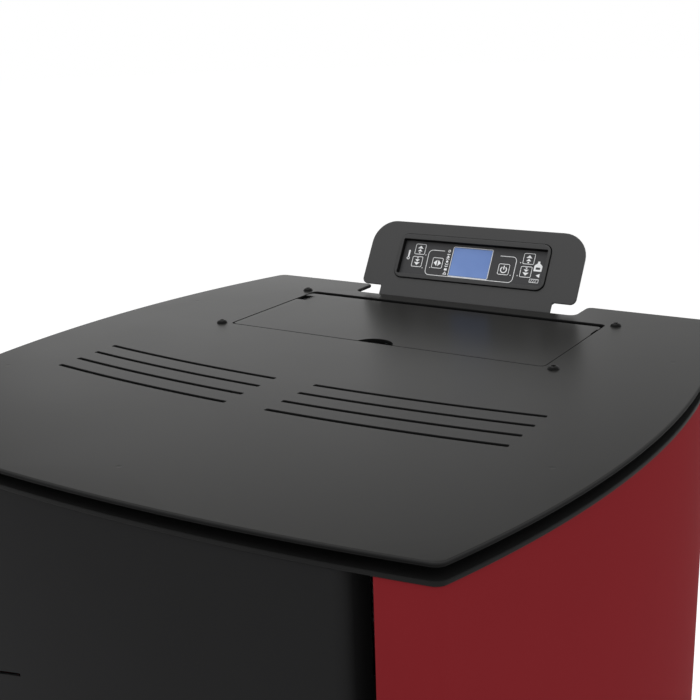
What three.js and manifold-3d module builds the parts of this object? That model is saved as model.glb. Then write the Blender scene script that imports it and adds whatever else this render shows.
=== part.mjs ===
// Free-standing pellet stove with a bowed front, bowed red side panels and a leaning control panel.
// Millimetres, +Z up, front towards -Y. The layout origin is on the floor, below the middle of the
// two rear hopper screws; the finished group is then centred over its own footprint.
import * as THREE from 'three';
import { mergeVertices } from 'three/addons/utils/BufferGeometryUtils.js';
import Module from 'manifold-3d';

const wasm = await Module();
wasm.setup();

// ------------------------------------------------------------------ driving dimensions
const rest = 0.3;                 // gap between pieces that rest on each other
const running = 0.4;              // radial clearance round pins, shafts and spindles
const sheet = 1.5;                // casing sheet thickness

// Straight steps that stand for the bowed sides, the bowed front pieces and the rounded corners.
const bowSteps = 14;
const frontSteps = 10;
const cornerSteps = 4;
const smallSides = 12;             // of bars, pins and small holes
const tubeSides = 20;              // of tubes and of what fits round them
const flightSteps = 8;             // per turn of the auger

const stove = { height: 950, cornerX: 202, frontCornerY: -406.1, rearY: 45.9 };
const bow = { front: 16.5, side: 37.5, sideForward: 8, corner: 8 };
const topPlate = { thickness: 3, notchHalf: 100.6, notchFrontY: 16.5, notchCorner: 5.5 };
const rim = { drop: 9.25, thickness: 2.75, border: 24, corner: 12 };
const weldStud = { radius: 4, inFromCorner: 3.5, frontInset: 35, rearStep: -6, frontStep: 11 };
const slot = {
  width: 3.3, innerX: 15.7, outerX: 172.4, arcRadius: 1269, firstY: -222.1, pitch: 17.85, count: 4,
};
const lid = {
  halfWidth: 131.3, frontY: -118.7, rearY: -7.9, sideGap: 1.2, frontGap: 1.2, rearGap: 7.6, corner: 4,
};
const finger = { radius: 15.5, depth: 11 };
const hinge = {
  notchDepth: 7, frontY: -30, rearY: -15, axisDrop: 8, pinRadius: 2.5, earThickness: 3, earTip: 6,
};
const screw = {
  x: lid.halfWidth + 8.7, rearY: 0, frontY: -121.4, headRadius: 5.25, headHeight: 3.3, shank: 3, socket: 2,
};

const hopper = {
  wall: sheet, flange: 13, neckHalf: lid.halfWidth + 2.7, neckRearY: 2, neckDepth: 22,
  bodyHalf: 185, bodyRearY: 8, bodyFrontY: -170, shoulderDepth: 75, bodyDepth: 270,
  outletHalf: 28, outletAhead: 35, outletRise: 86.7, outletSink: 3.3, ledge: 5,
};
const auger = {
  lowY: -55, lowZ: 430, length: 184, tubeRadius: 30, tubeWall: 2, flightGap: 2, flightThickness: 3,
  shaftRadius: 6, pitch: 40, startAt: 6, flightLength: 146, capDepth: 3,
};
const gearmotor = { flange: 6, half: 28, depth: 29, canRadius: 22, canLength: 35 };
const chute = { half: 22.5, wall: sheet, along: 155, reach: 130 };

const frontGapZ = 4;              // between the stacked front pieces
const front = { halfWidth: 158, inset: 2, corner: 8, sheet: 2 };
const upperPanelDrop = 208;       // from the top of the stove to the top of the door
const level = {
  base: 22, baseSheet: 3, drawerLow: 192, drawerHigh: 308, doorHigh: stove.height - upperPanelDrop,
};
const panelGap = 0.6;             // between the rim plate and the casing panels
const sideReturn = { inset: 1.5, frontEdgeX: 172.5, rearLip: 15 };
const arch = { radius: 306, endX: 63, outerX: 125, topDrop: 130.3, width: 2, pitch: 22, count: 3 };
const upright = { outerX: 192, innerX: 163, faceY: -386, depth: 30, sheet: 2 };

const doorBorder = { low: 50, high: 40 };
const door = {
  backY: -385, windowHalf: 112, windowLow: level.drawerHigh + doorBorder.low,
  windowHigh: level.doorHigh - doorBorder.high, windowCorner: 10,
};
const glass = { thickness: 4, lap: 9 };
const retainer = { thickness: 2, width: 18 };
const gasket = {
  width: 9, halfX: door.windowHalf + 16, lowZ: door.windowLow - 24, highZ: door.windowHigh + 24, depth: 5,
  cornerOut: 14, cornerIn: 6,
};
const doorPin = { x: -front.halfWidth + 8, y: -398, radius: 3, depth: 12, lug: 2.8, head: 5 };
const handle = {
  x: front.halfWidth - 13, z: (level.drawerHigh + frontGapZ + level.doorHigh) / 2,
  spindle: 4, spindleDepth: 3, reach: 36, grip: 6.5, gripLength: 118, camRadius: 9, camFlat: 2,
};

const chamber = {
  halfX: 148, frontY: -381, rearY: -215, wall: 3, floorZ: level.drawerHigh + 4, floor: 6, openHalf: 118,
  openLow: door.windowLow - 14, openHigh: door.windowHigh + 14, drawerBottomZ: level.drawerLow - 4,
  ledge: 12, ledgeInset: 20,
};
const fireBack = {
  thickness: 12, topGap: 18, groove: 10, grooveDepth: 5, grooves: 6, grooveLow: 60, grooveHigh: 25,
};
const baffle = { drop: 12, thickness: 5, depth: 118, slotHalf: 22, slotPitch: 80 };
baffle.z = door.windowHigh - baffle.drop;
fireBack.topZ = door.windowHigh - fireBack.topGap;
const pot = { halfX: 52, frontY: -338, rearY: -246, height: 72, wall: 4, lip: 6, holeRadius: 3 };
const igniter = { radius: 8, wall: 2, z: chamber.floorZ + 34, length: 62 };
const tray = {
  halfX: 138, rearY: -228, height: 94, wall: sheet, gripHalf: 45, gripHeight: 16, gripCorner: 12,
};

const exhaust = { x: -72, z: 250, radius: 60, depth: 52, wall: 2, eye: 28, outletX: 22, outletHalf: 42 };
const impeller = { radius: 50, blades: 10, bladeThickness: 2, width: 30, shaft: 4, hub: 5 };
const motor = { radius: 34, length: 58, plate: 3, plateOver: 4 };
const flue = { radius: 40, wall: sheet, reach: 50 };
const intake = { radius: 25, wall: sheet, x: 112, z: 232, reach: 30 };
const blower = {
  halfX: 110, frontY: -345, rearY: -252, highZ: 128, rotor: 32, wall: 3, blades: 10, shaft: 5,
};

const rearPanel = {
  sheet, inset: 3.6, halfX: 194, ventHalf: 60, ventLowZ: 52, ventPitch: 14, ventCount: 7, vent: 4,
};
const inlet = {
  x: 148, z: 96, halfX: 14, halfZ: 10.5, flangeX: 25, flangeZ: 15.5, flange: 3, wall: 2.5, depth: 24,
};
const rocker = { x: 148, z: 138, halfX: 9.5, halfZ: 6.3, depth: 14, tilt: 8 };
const board = { x: 128, z: 520, halfX: 58, halfZ: 84, sheet: 2, standoff: 6 };
// Parts on the board as [x, z, halfX, halfZ] in shares of its half sizes, and how tall each one is.
const boardParts = [
  [-0.586, 0.619, 0.276, 0.238, 14], [0.172, 0.667, 0.207, 0.167, 18], [-0.345, 0.071, 0.379, 0.119, 8],
  [0.448, -0.095, 0.241, 0.19, 10], [0, -0.69, 0.69, 0.143, 11],
];
const foot = { radius: 20, x: 165, rearY: 5, frontY: -365 };
const baseVent = { x: 60, half: 40, frontY: -190, rearY: -60, corner: 10 };

const panel = {
  lean: 30.75, planeY: 19.6, sheet: 2, halfWidth: 98.26, low: 7.3, high: 66.4, topCorner: 21, lowCorner: 5,
  neckHalf: 78.9, neckDrop: 16, footDepth: 24,
};
const screen = { halfX: 69.5, low: 15.5, high: 55.5, corner: 7, gap: 0.3 };
const housing = { lip: 0.6, flange: 6, depth: 20, wall: 2 };
const foil = { halfX: 66.9, low: 19.8, high: 50, sink: 3, thickness: 0.8, ledge: 1.2 };
const display = { left: -18.6, right: 17, low: 22, high: 47.5, corner: 3 };
const key = { halfX: 5.5, halfY: 5.25, corner: 1.5, gap: 0.3, travel: 0.4, stem: 2 };
const keyPlaces = [
  ['up_left', -50, 43.3], ['down_left', -51, 31.2], ['mode', -31.2, 30.7],
  ['power', 30.8, 31.4], ['up_right', 51.2, 42.3], ['down_right', 50.4, 31],
];

// ------------------------------------------------------------------ derived places
const frontRadius = (stove.cornerX ** 2 + bow.front ** 2) / (2 * bow.front);
const frontCentreY = stove.frontCornerY - bow.front + frontRadius;
const halfSide = (stove.rearY - stove.frontCornerY) / 2;
const sideRadius = (halfSide ** 2 + bow.side ** 2) / (2 * bow.side);
const sideCentreX = stove.cornerX + bow.side - sideRadius;
const middleY = (stove.rearY + stove.frontCornerY) / 2;
const sideCentreY = middleY - bow.sideForward;

const plateBottom = stove.height - topPlate.thickness;
const rimTop = stove.height - rim.drop;
const rimBottom = rimTop - rim.thickness;
const baseTop = level.base + level.baseSheet;
const panelLow = baseTop + rest;
const panelHigh = rimBottom - panelGap;
const lidAxis = { y: (hinge.frontY + hinge.rearY) / 2, z: stove.height - hinge.axisDrop };
const doorLow = level.drawerHigh + frontGapZ;
const glassY = door.backY - retainer.thickness - glass.thickness;
const flueX = exhaust.outletX;
const rearSheetY = stove.rearY - rearPanel.inset;
const rearEndY = stove.rearY + flue.reach;
const handleFaceY = frontCentreY - Math.sqrt((frontRadius - front.inset) ** 2 - handle.x ** 2);
const handleFrontY = handleFaceY - handle.reach;
const frontEndY = Math.min(stove.frontCornerY - bow.front, handleFrontY - handle.grip);
// Cuts through the front pieces start here, clear of every front face.
const aheadY = stove.frontCornerY - 40;

// ------------------------------------------------------------------ solids
function toSolid(geometry) {
  const plain = geometry.clone();
  plain.deleteAttribute('normal');
  plain.deleteAttribute('uv');
  const merged = mergeVertices(plain, 1e-4);
  return new wasm.Manifold(new wasm.Mesh({
    numProp: 3,
    vertProperties: new Float32Array(merged.attributes.position.array),
    triVerts: new Uint32Array(merged.index.array),
  }));
}

function toGeometry(solid) {
  const mesh = solid.getMesh();
  const geometry = new THREE.BufferGeometry();
  geometry.setAttribute('position', new THREE.BufferAttribute(mesh.vertProperties, 3));
  geometry.setIndex(new THREE.BufferAttribute(mesh.triVerts, 1));
  geometry.computeVertexNormals();
  return geometry;
}

// A box given by its low and high corners.
function block(x0, x1, y0, y1, z0, z1) {
  const geometry = new THREE.BoxGeometry(x1 - x0, y1 - y0, z1 - z0);
  geometry.translate((x0 + x1) / 2, (y0 + y1) / 2, (z0 + z1) / 2);
  return toSolid(geometry);
}

// Points along a round stretch of an outline.
function arcPoints(x, y, radius, a0, a1, steps) {
  const points = [];
  for (let step = 0; step <= steps; step += 1) {
    const angle = a0 + (a1 - a0) * step / steps;
    points.push(new THREE.Vector2(x + radius * Math.cos(angle), y + radius * Math.sin(angle)));
  }
  return points;
}

// A flat shape drawn in plan and raised from z0 to z1.
function raise(shape, z0, z1) {
  const geometry = new THREE.ExtrudeGeometry(shape, { depth: z1 - z0, bevelEnabled: false });
  geometry.translate(0, 0, z0);
  return toSolid(geometry);
}

// A flat shape drawn as x and height, running from y0 back to y1.
function raiseBack(shape, y0, y1) {
  const geometry = new THREE.ExtrudeGeometry(shape, { depth: y1 - y0, bevelEnabled: false });
  geometry.rotateX(Math.PI / 2);
  geometry.translate(0, y1, 0);
  return toSolid(geometry);
}

// A round bar between two points.
function bar(from, to, radius, sides = smallSides) {
  const start = new THREE.Vector3(...from);
  const along = new THREE.Vector3(...to).sub(start);
  const geometry = new THREE.CylinderGeometry(radius, radius, along.length(), sides);
  const axis = along.clone().normalize();
  geometry.applyQuaternion(new THREE.Quaternion().setFromUnitVectors(new THREE.Vector3(0, 1, 0), axis));
  geometry.translate(...start.addScaledVector(along, 0.5).toArray());
  return toSolid(geometry);
}

function pipe(from, to, radius, wall, sides = tubeSides) {
  const outside = bar(from, to, radius, sides);
  const past = new THREE.Vector3(...to).sub(new THREE.Vector3(...from)).normalize();
  const start = new THREE.Vector3(...from).sub(past);
  const end = new THREE.Vector3(...to).add(past);
  return outside.subtract(bar(start.toArray(), end.toArray(), radius - wall, sides));
}

// A closed body through level rectangles, each given as [z, halfX, lowY, highY].
function funnel(sections) {
  const points = [];
  for (const [z, halfX, y0, y1] of sections) {
    points.push([-halfX, y0, z], [halfX, y0, z], [halfX, y1, z], [-halfX, y1, z]);
  }
  const faces = [[0, 2, 1], [0, 3, 2]];
  const last = 4 * (sections.length - 1);
  faces.push([last, last + 1, last + 2], [last, last + 2, last + 3]);
  for (let ring = 0; ring < last; ring += 4) {
    for (let side = 0; side < 4; side += 1) {
      const a = ring + side;
      const b = ring + (side + 1) % 4;
      faces.push([a, b, b + 4], [a, b + 4, a + 4]);
    }
  }
  const geometry = new THREE.BufferGeometry();
  geometry.setAttribute('position', new THREE.Float32BufferAttribute(points.flat(), 3));
  geometry.setIndex(faces.flat());
  return toSolid(geometry);
}

function rounded(x0, x1, y0, y1, radius, steps = 3) {
  const quarter = Math.PI / 2;
  return new THREE.Shape([
    ...arcPoints(x1 - radius, y0 + radius, radius, -quarter, 0, steps),
    ...arcPoints(x1 - radius, y1 - radius, radius, 0, quarter, steps),
    ...arcPoints(x0 + radius, y1 - radius, radius, quarter, 2 * quarter, steps),
    ...arcPoints(x0 + radius, y0 + radius, radius, 2 * quarter, 3 * quarter, steps),
  ]);
}

// A curved bar between two radii, from angle a0 to angle a1.
function arcBar(centreX, centreY, inner, outer, a0, a1, steps = 5) {
  return new THREE.Shape([
    ...arcPoints(centreX, centreY, outer, a0, a1, steps),
    ...arcPoints(centreX, centreY, inner, a1, a0, steps),
  ]);
}

// ------------------------------------------------------------------ outlines
// The plan of the top: a bowed front, two bowed sides, a straight rear and four rounded corners.
function planShape(inset) {
  const corner = Math.max(bow.corner - inset, 2);
  const frontR = frontRadius - inset;
  const sideR = sideRadius - inset;
  const rearY = stove.rearY - inset;

  const rearCornerY = rearY - corner;
  const rearCornerX = sideCentreX + Math.sqrt((sideR - corner) ** 2 - (rearCornerY - sideCentreY) ** 2);
  const rearAngle = Math.atan2(rearCornerY - sideCentreY, rearCornerX - sideCentreX);

  // The front corner's centre lies at a known distance from both arc centres.
  const offsetX = sideCentreX;
  const offsetY = sideCentreY - frontCentreY;
  const span = Math.hypot(offsetX, offsetY);
  const fromFront = frontR - corner;
  const fromSide = sideR - corner;
  const along = (span ** 2 + fromFront ** 2 - fromSide ** 2) / (2 * span);
  const across = Math.sqrt(fromFront ** 2 - along ** 2);
  const towards = Math.atan2(offsetY, offsetX);
  const frontCornerX = along * Math.cos(towards) - across * Math.sin(towards);
  const frontCornerY = frontCentreY + along * Math.sin(towards) + across * Math.cos(towards);
  const frontAngle = Math.atan2(frontCornerY - frontCentreY, frontCornerX);
  const sideAngle = Math.atan2(frontCornerY - sideCentreY, frontCornerX - sideCentreX);

  const turn = Math.PI;
  return new THREE.Shape([
    ...arcPoints(0, frontCentreY, frontR, -turn - frontAngle, frontAngle, bowSteps),
    ...arcPoints(frontCornerX, frontCornerY, corner, frontAngle, sideAngle, cornerSteps).slice(1),
    ...arcPoints(sideCentreX, sideCentreY, sideR, sideAngle, rearAngle, bowSteps).slice(1),
    ...arcPoints(rearCornerX, rearCornerY, corner, rearAngle, turn / 2, cornerSteps).slice(1),
    ...arcPoints(-rearCornerX, rearCornerY, corner, turn / 2, turn - rearAngle, cornerSteps),
    ...arcPoints(-sideCentreX, sideCentreY, sideR, turn - rearAngle, turn - sideAngle, bowSteps).slice(1),
    ...arcPoints(-frontCornerX, frontCornerY, corner, turn - sideAngle, turn - frontAngle, cornerSteps)
      .slice(1, -1),
  ]);
}

// A block whose front face follows the bowed front, with rounded front edges.
function bowedBlock(halfWidth, inset, corner, backY, z0, z1) {
  const radius = frontRadius - inset;
  const cornerX = halfWidth - corner;
  const cornerY = frontCentreY - Math.sqrt((radius - corner) ** 2 - cornerX ** 2);
  const angle = Math.atan2(cornerY - frontCentreY, cornerX);
  const shape = new THREE.Shape([
    ...arcPoints(0, frontCentreY, radius, -Math.PI - angle, angle, frontSteps),
    ...arcPoints(cornerX, cornerY, corner, angle, 0, cornerSteps).slice(1),
    new THREE.Vector2(halfWidth, backY),
    new THREE.Vector2(-halfWidth, backY),
    ...arcPoints(-cornerX, cornerY, corner, Math.PI, Math.PI - angle, cornerSteps).slice(0, -1),
  ]);
  return raise(shape, z0, z1);
}

// A sheet of the front, bent back at both sides, open behind.
function bowedSheet(z0, z1, backY) {
  const outside = bowedBlock(front.halfWidth, front.inset, front.corner, backY, z0, z1);
  const inside = bowedBlock(front.halfWidth - front.sheet, front.inset + front.sheet,
    front.corner - front.sheet, backY + 1, z0 - 1, z1 + 1);
  return outside.subtract(inside);
}

// ------------------------------------------------------------------ top
function makeTopPlate() {
  let plate = raise(planShape(0), plateBottom, stove.height);
  const notch = rounded(-topPlate.notchHalf, topPlate.notchHalf, topPlate.notchFrontY,
    stove.rearY + topPlate.notchCorner * 2, topPlate.notchCorner);
  plate = plate.subtract(raise(notch, plateBottom - 1, stove.height + 1));
  const mouth = rounded(-lid.halfWidth - lid.sideGap, lid.halfWidth + lid.sideGap, lid.frontY - lid.frontGap,
    lid.rearY + lid.rearGap, lid.corner);
  plate = plate.subtract(raise(mouth, plateBottom - 1, stove.height + 1));
  for (const cut of slotCuts()) {
    plate = plate.subtract(cut);
  }
  for (const [x, y] of screwPlaces) {
    plate = plate.subtract(bar([x, y, plateBottom - 1], [x, y, stove.height + 1], screw.shank + running));
  }
  for (const [x, y] of studPlaces()) {
    plate = plate.add(bar([x, y, rimTop + rest], [x, y, plateBottom + 1], weldStud.radius));
  }
  return toGeometry(plate);
}

const screwPlaces = [-screw.x, screw.x].flatMap((x) => [[x, screw.frontY], [x, screw.rearY]]);

// Spacer studs welded under the plate, over the rim plate's border.
function studPlaces() {
  const sideX = stove.cornerX + weldStud.inFromCorner;
  const places = [[0, frontCentreY - frontRadius + weldStud.frontInset]];
  for (const side of [-1, 1]) {
    places.push([side * sideX, middleY + halfSide / 2 + weldStud.rearStep]);
    places.push([side * sideX, middleY - halfSide / 2 + weldStud.frontStep]);
  }
  return places;
}

function slotCuts() {
  const cuts = [];
  for (let row = 0; row < slot.count; row += 1) {
    const centreY = slot.firstY - row * slot.pitch + slot.arcRadius;
    const near = Math.asin(slot.innerX / slot.arcRadius);
    const far = Math.asin(slot.outerX / slot.arcRadius);
    const down = -Math.PI / 2;
    for (const [a0, a1] of [[down - far, down - near], [down + near, down + far]]) {
      const [inner, outer] = [slot.arcRadius - slot.width / 2, slot.arcRadius + slot.width / 2];
      const shape = arcBar(0, centreY, inner, outer, a0, a1);
      cuts.push(raise(shape, plateBottom - 1, stove.height + 1));
    }
  }
  return cuts;
}

function makeRimPlate() {
  let plate = raise(planShape(0), rimBottom, rimTop);
  const windowHalf = hopper.bodyHalf;
  const plenumRear = slot.firstY + 22;
  const plenumFront = stove.frontCornerY + rim.border;
  const plenum = rounded(-windowHalf, windowHalf, plenumFront, plenumRear, rim.corner);
  const mouth = rounded(-hopper.neckHalf - 4, hopper.neckHalf + 4, screw.frontY - hopper.flange,
    hopper.neckRearY + hopper.wall + 3, rim.corner / 2);
  for (const opening of [plenum, mouth]) {
    plate = plate.subtract(raise(opening, rimBottom - 1, rimTop + 1));
  }
  for (const [x, y] of screwPlaces) {
    plate = plate.subtract(bar([x, y, rimBottom - 1], [x, y, rimTop + 1], screw.shank + 2));
  }
  return toGeometry(plate);
}

function makeScrew([x, y]) {
  const seat = stove.height + rest / 3;
  const sphere = (screw.headRadius ** 2 + screw.headHeight ** 2) / (2 * screw.headHeight);
  const profile = [new THREE.Vector2(0, 0), new THREE.Vector2(screw.headRadius, 0)];
  const top = Math.asin(screw.headRadius / sphere);
  for (const angle of [0.75 * top, 0.42 * top]) {
    const drop = sphere * (1 - Math.cos(angle));
    profile.push(new THREE.Vector2(sphere * Math.sin(angle), screw.headHeight - drop));
  }
  profile.push(new THREE.Vector2(0, profile[profile.length - 1].y));
  const head = new THREE.LatheGeometry(profile);
  head.rotateX(Math.PI / 2);
  head.translate(x, y, seat);
  const socket = bar([x, y, seat + 1], [x, y, seat + screw.headHeight + 1], screw.socket, 6);
  const shankLow = plateBottom - rest - hopper.wall - 2;
  const shank = bar([x, y, shankLow], [x, y, seat + 0.5], screw.shank);
  return toGeometry(toSolid(head).subtract(socket).add(shank));
}

function makeLid() {
  const shape = rounded(-lid.halfWidth, lid.halfWidth, lid.frontY, lid.rearY, lid.corner);
  let plate = raise(shape, plateBottom, stove.height);
  const fingerY = lid.frontY - finger.radius + finger.depth;
  const [under, over] = [plateBottom - 1, stove.height + 1];
  plate = plate.subtract(bar([0, fingerY, under], [0, fingerY, over], finger.radius, 2 * tubeSides));
  for (const side of [-1, 1]) {
    const inner = lid.halfWidth - hinge.notchDepth;
    const notch = [side * inner, side * (lid.halfWidth + 1)].sort((a, b) => a - b);
    plate = plate.subtract(block(...notch, hinge.frontY, hinge.rearY, under, over));
    // The flap of each notch is bent down and carries the pivot hole.
    const ear = [side * (inner - hinge.earThickness), side * inner].sort((a, b) => a - b);
    plate = plate.add(block(...ear, hinge.frontY, hinge.rearY, lidAxis.z - hinge.earTip, stove.height - 0.5));
    const hole = bar([ear[0] - 1, lidAxis.y, lidAxis.z], [ear[1] + 1, lidAxis.y, lidAxis.z],
      hinge.pinRadius + running);
    plate = plate.subtract(hole);
  }
  return toGeometry(plate);
}

function makeLidPin(side) {
  const inner = lid.halfWidth - hinge.notchDepth - hinge.earThickness - 2;
  const outer = hopper.neckHalf + hopper.wall + 1.5;
  const shoulder = lid.halfWidth - hinge.notchDepth + running;
  const at = (x) => [side * x, lidAxis.y, lidAxis.z];
  const pin = bar(at(inner), at(outer), hinge.pinRadius);
  // A shoulder between the ear and the hopper wall keeps the lid centred.
  const sleeve = bar(at(shoulder), at(hopper.neckHalf - rest), hinge.pinRadius + 1.5);
  return toGeometry(pin.add(sleeve));
}

// ------------------------------------------------------------------ fuel
const augerDirection = new THREE.Vector3(0, -Math.SQRT1_2, Math.SQRT1_2);
const augerDown = new THREE.Vector3(0, -Math.SQRT1_2, -Math.SQRT1_2);

function augerPoint(along, down = 0) {
  const point = new THREE.Vector3(0, auger.lowY, auger.lowZ);
  point.addScaledVector(augerDirection, along).addScaledVector(augerDown, down);
  return point.toArray();
}

function hopperSections(grow) {
  const top = plateBottom - rest;
  const neckFront = screw.frontY + hopper.wall;
  const outletY = auger.lowY - hopper.outletAhead;
  const outletHalf = hopper.outletHalf + grow;
  const outlet = [outletHalf, outletY - outletHalf, outletY + outletHalf];
  const body = [hopper.bodyHalf + grow, hopper.bodyFrontY - grow, hopper.bodyRearY + grow];
  const neck = [hopper.neckHalf + grow, neckFront - grow, hopper.neckRearY + grow];
  return [
    [auger.lowZ - hopper.outletSink, ...outlet],
    [auger.lowZ + hopper.outletRise, ...outlet],
    [top - hopper.bodyDepth, ...body],
    [top - hopper.shoulderDepth, ...body],
    [top - hopper.neckDepth, ...neck],
    [top, ...neck],
  ];
}

function makeHopper() {
  const top = plateBottom - rest;
  const inside = hopperSections(0);
  inside[0][0] -= 1;
  inside[inside.length - 1][0] += 1;
  let body = funnel(hopperSections(hopper.wall));
  const flangeX = screw.x + 10;
  const flangeFront = screw.frontY - hopper.flange + rest;
  const flangeRear = screw.rearY + hopper.flange - 2;
  const flange = block(-flangeX, flangeX, flangeFront, flangeRear, top - hopper.wall, top);
  body = body.add(flange).subtract(funnel(inside));
  // Two ledges inside the neck carry the closed lid in front of its hinge.
  for (const side of [-1, 1]) {
    const ledgeEnd = hopper.neckHalf + hopper.wall / 2;
    const ledge = [side * (lid.halfWidth - hopper.ledge), side * ledgeEnd].sort((a, b) => a - b);
    body = body.add(block(...ledge, lid.frontY + 12, hinge.frontY - 10, top - 2, top));
  }
  const pinEnd = hopper.neckHalf + hopper.wall + 5;
  const { y, z } = lidAxis;
  body = body.subtract(bar([-pinEnd, y, z], [pinEnd, y, z], hinge.pinRadius + rest / 2));
  for (const [screwX, screwY] of screwPlaces) {
    const below = [screwX, screwY, top - hopper.wall - 1];
    body = body.subtract(bar(below, [screwX, screwY, top + 1], screw.shank + rest / 2));
  }
  // The outlet sits like a saddle on the auger tube.
  const { length, tubeRadius } = auger;
  const past = 2 * tubeRadius;
  body = body.subtract(bar(augerPoint(-past), augerPoint(length + past), tubeRadius + rest, tubeSides));
  return toGeometry(body.subtract(augerBlock(hopper.bodyHalf, -length, 2 * length, 0, length)));
}

function makeAugerTube() {
  const { length, tubeRadius, tubeWall, capDepth } = auger;
  let tube = pipe(augerPoint(0), augerPoint(length), tubeRadius, tubeWall);
  tube = tube.add(bar(augerPoint(length - capDepth), augerPoint(length), tubeRadius - 1, tubeSides));
  // Pellets fall in through the top and out through the bottom near the upper end.
  const inletAlong = hopper.outletAhead / Math.SQRT1_2;
  const inletHalf = hopper.outletHalf - 6;
  const past = tubeRadius + 5;
  tube = tube.subtract(augerBlock(inletHalf, inletAlong - inletHalf, inletAlong + inletHalf, -past, -5));
  const outlet = chute.half - chute.wall;
  tube = tube.subtract(augerBlock(outlet - 1, chute.along - outlet, chute.along + outlet, 8, past));
  return toGeometry(tube);
}

// A box in the auger's own directions: along its axis and square to it, downwards positive.
function augerBlock(halfX, along0, along1, down0, down1) {
  const turned = new THREE.Matrix4().makeBasis(new THREE.Vector3(1, 0, 0), augerDirection, augerDown);
  const geometry = new THREE.BoxGeometry(2 * halfX, along1 - along0, down1 - down0);
  geometry.translate(0, (along0 + along1) / 2, (down0 + down1) / 2);
  geometry.applyMatrix4(turned);
  geometry.translate(0, auger.lowY, auger.lowZ);
  return toSolid(geometry);
}

function makeAugerScrew() {
  const outer = auger.tubeRadius - auger.tubeWall - auger.flightGap;
  const inner = auger.shaftRadius - 1.5;
  const steps = Math.round(auger.flightLength / auger.pitch * flightSteps);
  const points = [];
  const faces = [];
  for (let step = 0; step <= steps; step += 1) {
    const along = auger.startAt + auger.flightLength * step / steps;
    const angle = 2 * Math.PI * (along - auger.startAt) / auger.pitch;
    const across = new THREE.Vector3(1, 0, 0).multiplyScalar(Math.cos(angle));
    across.addScaledVector(augerDown, Math.sin(angle));
    for (const [radius, shift] of [[inner, 0], [outer, 0], [outer, 1], [inner, 1]]) {
      const centre = new THREE.Vector3(...augerPoint(along + shift * auger.flightThickness));
      points.push(...centre.addScaledVector(across, radius).toArray());
    }
    if (step > 0) {
      const b = 4 * step;
      const a = b - 4;
      for (let side = 0; side < 4; side += 1) {
        const next = (side + 1) % 4;
        faces.push(a + side, a + next, b + next, a + side, b + next, b + side);
      }
    }
  }
  const last = 4 * steps;
  faces.push(0, 2, 1, 0, 3, 2, last, last + 1, last + 2, last, last + 2, last + 3);
  const geometry = new THREE.BufferGeometry();
  geometry.setAttribute('position', new THREE.Float32BufferAttribute(points, 3));
  geometry.setIndex(faces);
  const shaft = bar(augerPoint(-14), augerPoint(auger.length - auger.capDepth - running), auger.shaftRadius);
  return toGeometry(toSolid(geometry).add(shaft));
}

function makeAugerMotor() {
  const { flange, half, depth, canRadius, canLength } = gearmotor;
  const plate = bar(augerPoint(-flange), augerPoint(-rest), auger.tubeRadius + 2);
  const gearEnd = 1 - flange - depth;
  const gearbox = augerBlock(half + 4, gearEnd, 1 - flange, -half, half);
  const motorCan = bar(augerPoint(gearEnd + 1 - canLength), augerPoint(gearEnd + 1), canRadius);
  const bore = bar(augerPoint(-18), augerPoint(1), auger.shaftRadius + running);
  return toGeometry(plate.add(gearbox).add(motorCan).subtract(bore));
}

function makeFeedChute() {
  const { half, along, reach } = chute;
  const bore = half - chute.wall;
  const outside = augerBlock(half, along - half, along + half, 5, reach);
  const inside = augerBlock(bore, along - bore, along + bore, 4, reach + 1);
  const { length, tubeRadius } = auger;
  const tubeEnds = [augerPoint(-tubeRadius), augerPoint(length + tubeRadius)];
  const tubeSpace = bar(...tubeEnds, tubeRadius + rest, tubeSides);
  const wallY = [chamber.frontY, chamber.rearY + rest];
  const wallSpace = block(-2 * half, 2 * half, ...wallY, chamber.floorZ, stove.height);
  return toGeometry(outside.subtract(inside).subtract(tubeSpace).subtract(wallSpace));
}

// ------------------------------------------------------------------ casing
function makeSidePanel(side) {
  const outer = raise(planShape(sideReturn.inset), panelLow, panelHigh);
  const inner = raise(planShape(sideReturn.inset + sheet), panelLow - 1, panelHigh + 1);
  const ring = outer.subtract(inner);
  const far = stove.cornerX + bow.side + 10;
  const frontHalf = [side * sideReturn.frontEdgeX, side * far].sort((a, b) => a - b);
  const rearHalf = [side * (stove.cornerX - sideReturn.rearLip), side * far].sort((a, b) => a - b);
  const keepFront = block(...frontHalf, aheadY, middleY, 0, stove.height);
  const keepRear = block(...rearHalf, middleY - 1, stove.rearY + 10, 0, stove.height);
  return toGeometry(ring.intersect(keepFront.add(keepRear)));
}

// An upright that carries the front panels and the side panel's front edge.
function post(side) {
  const xs = [side * upright.innerX, side * upright.outerX].sort((a, b) => a - b);
  const high = rimBottom - rest;
  const face = block(...xs, upright.faceY - upright.sheet, upright.faceY, baseTop - 1, high);
  const legs = [side * (upright.outerX - upright.sheet), side * upright.outerX].sort((a, b) => a - b);
  const leg = block(...legs, upright.faceY - 1, upright.faceY + upright.depth, baseTop - 1, high);
  return face.add(leg);
}

function makeUpperFront() {
  let cover = bowedSheet(level.doorHigh + frontGapZ, panelHigh, upright.faceY - rest - upright.sheet);
  const top = stove.height - arch.topDrop;
  // Mirrored arched slots fall away from the bare middle.
  for (let row = 0; row < arch.count; row += 1) {
    const centreZ = top - Math.sqrt(arch.radius ** 2 - arch.endX ** 2) - row * arch.pitch;
    for (const side of [-1, 1]) {
      const near = Math.acos(side * arch.endX / arch.radius);
      const far = Math.acos(side * arch.outerX / arch.radius);
      const angles = [near, far].sort((a, b) => a - b);
      const shape = arcBar(0, centreZ, arch.radius - arch.width / 2, arch.radius + arch.width / 2, ...angles);
      cover = cover.subtract(raiseBack(shape, aheadY, stove.frontCornerY + 15));
    }
  }
  return toGeometry(cover);
}

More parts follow.
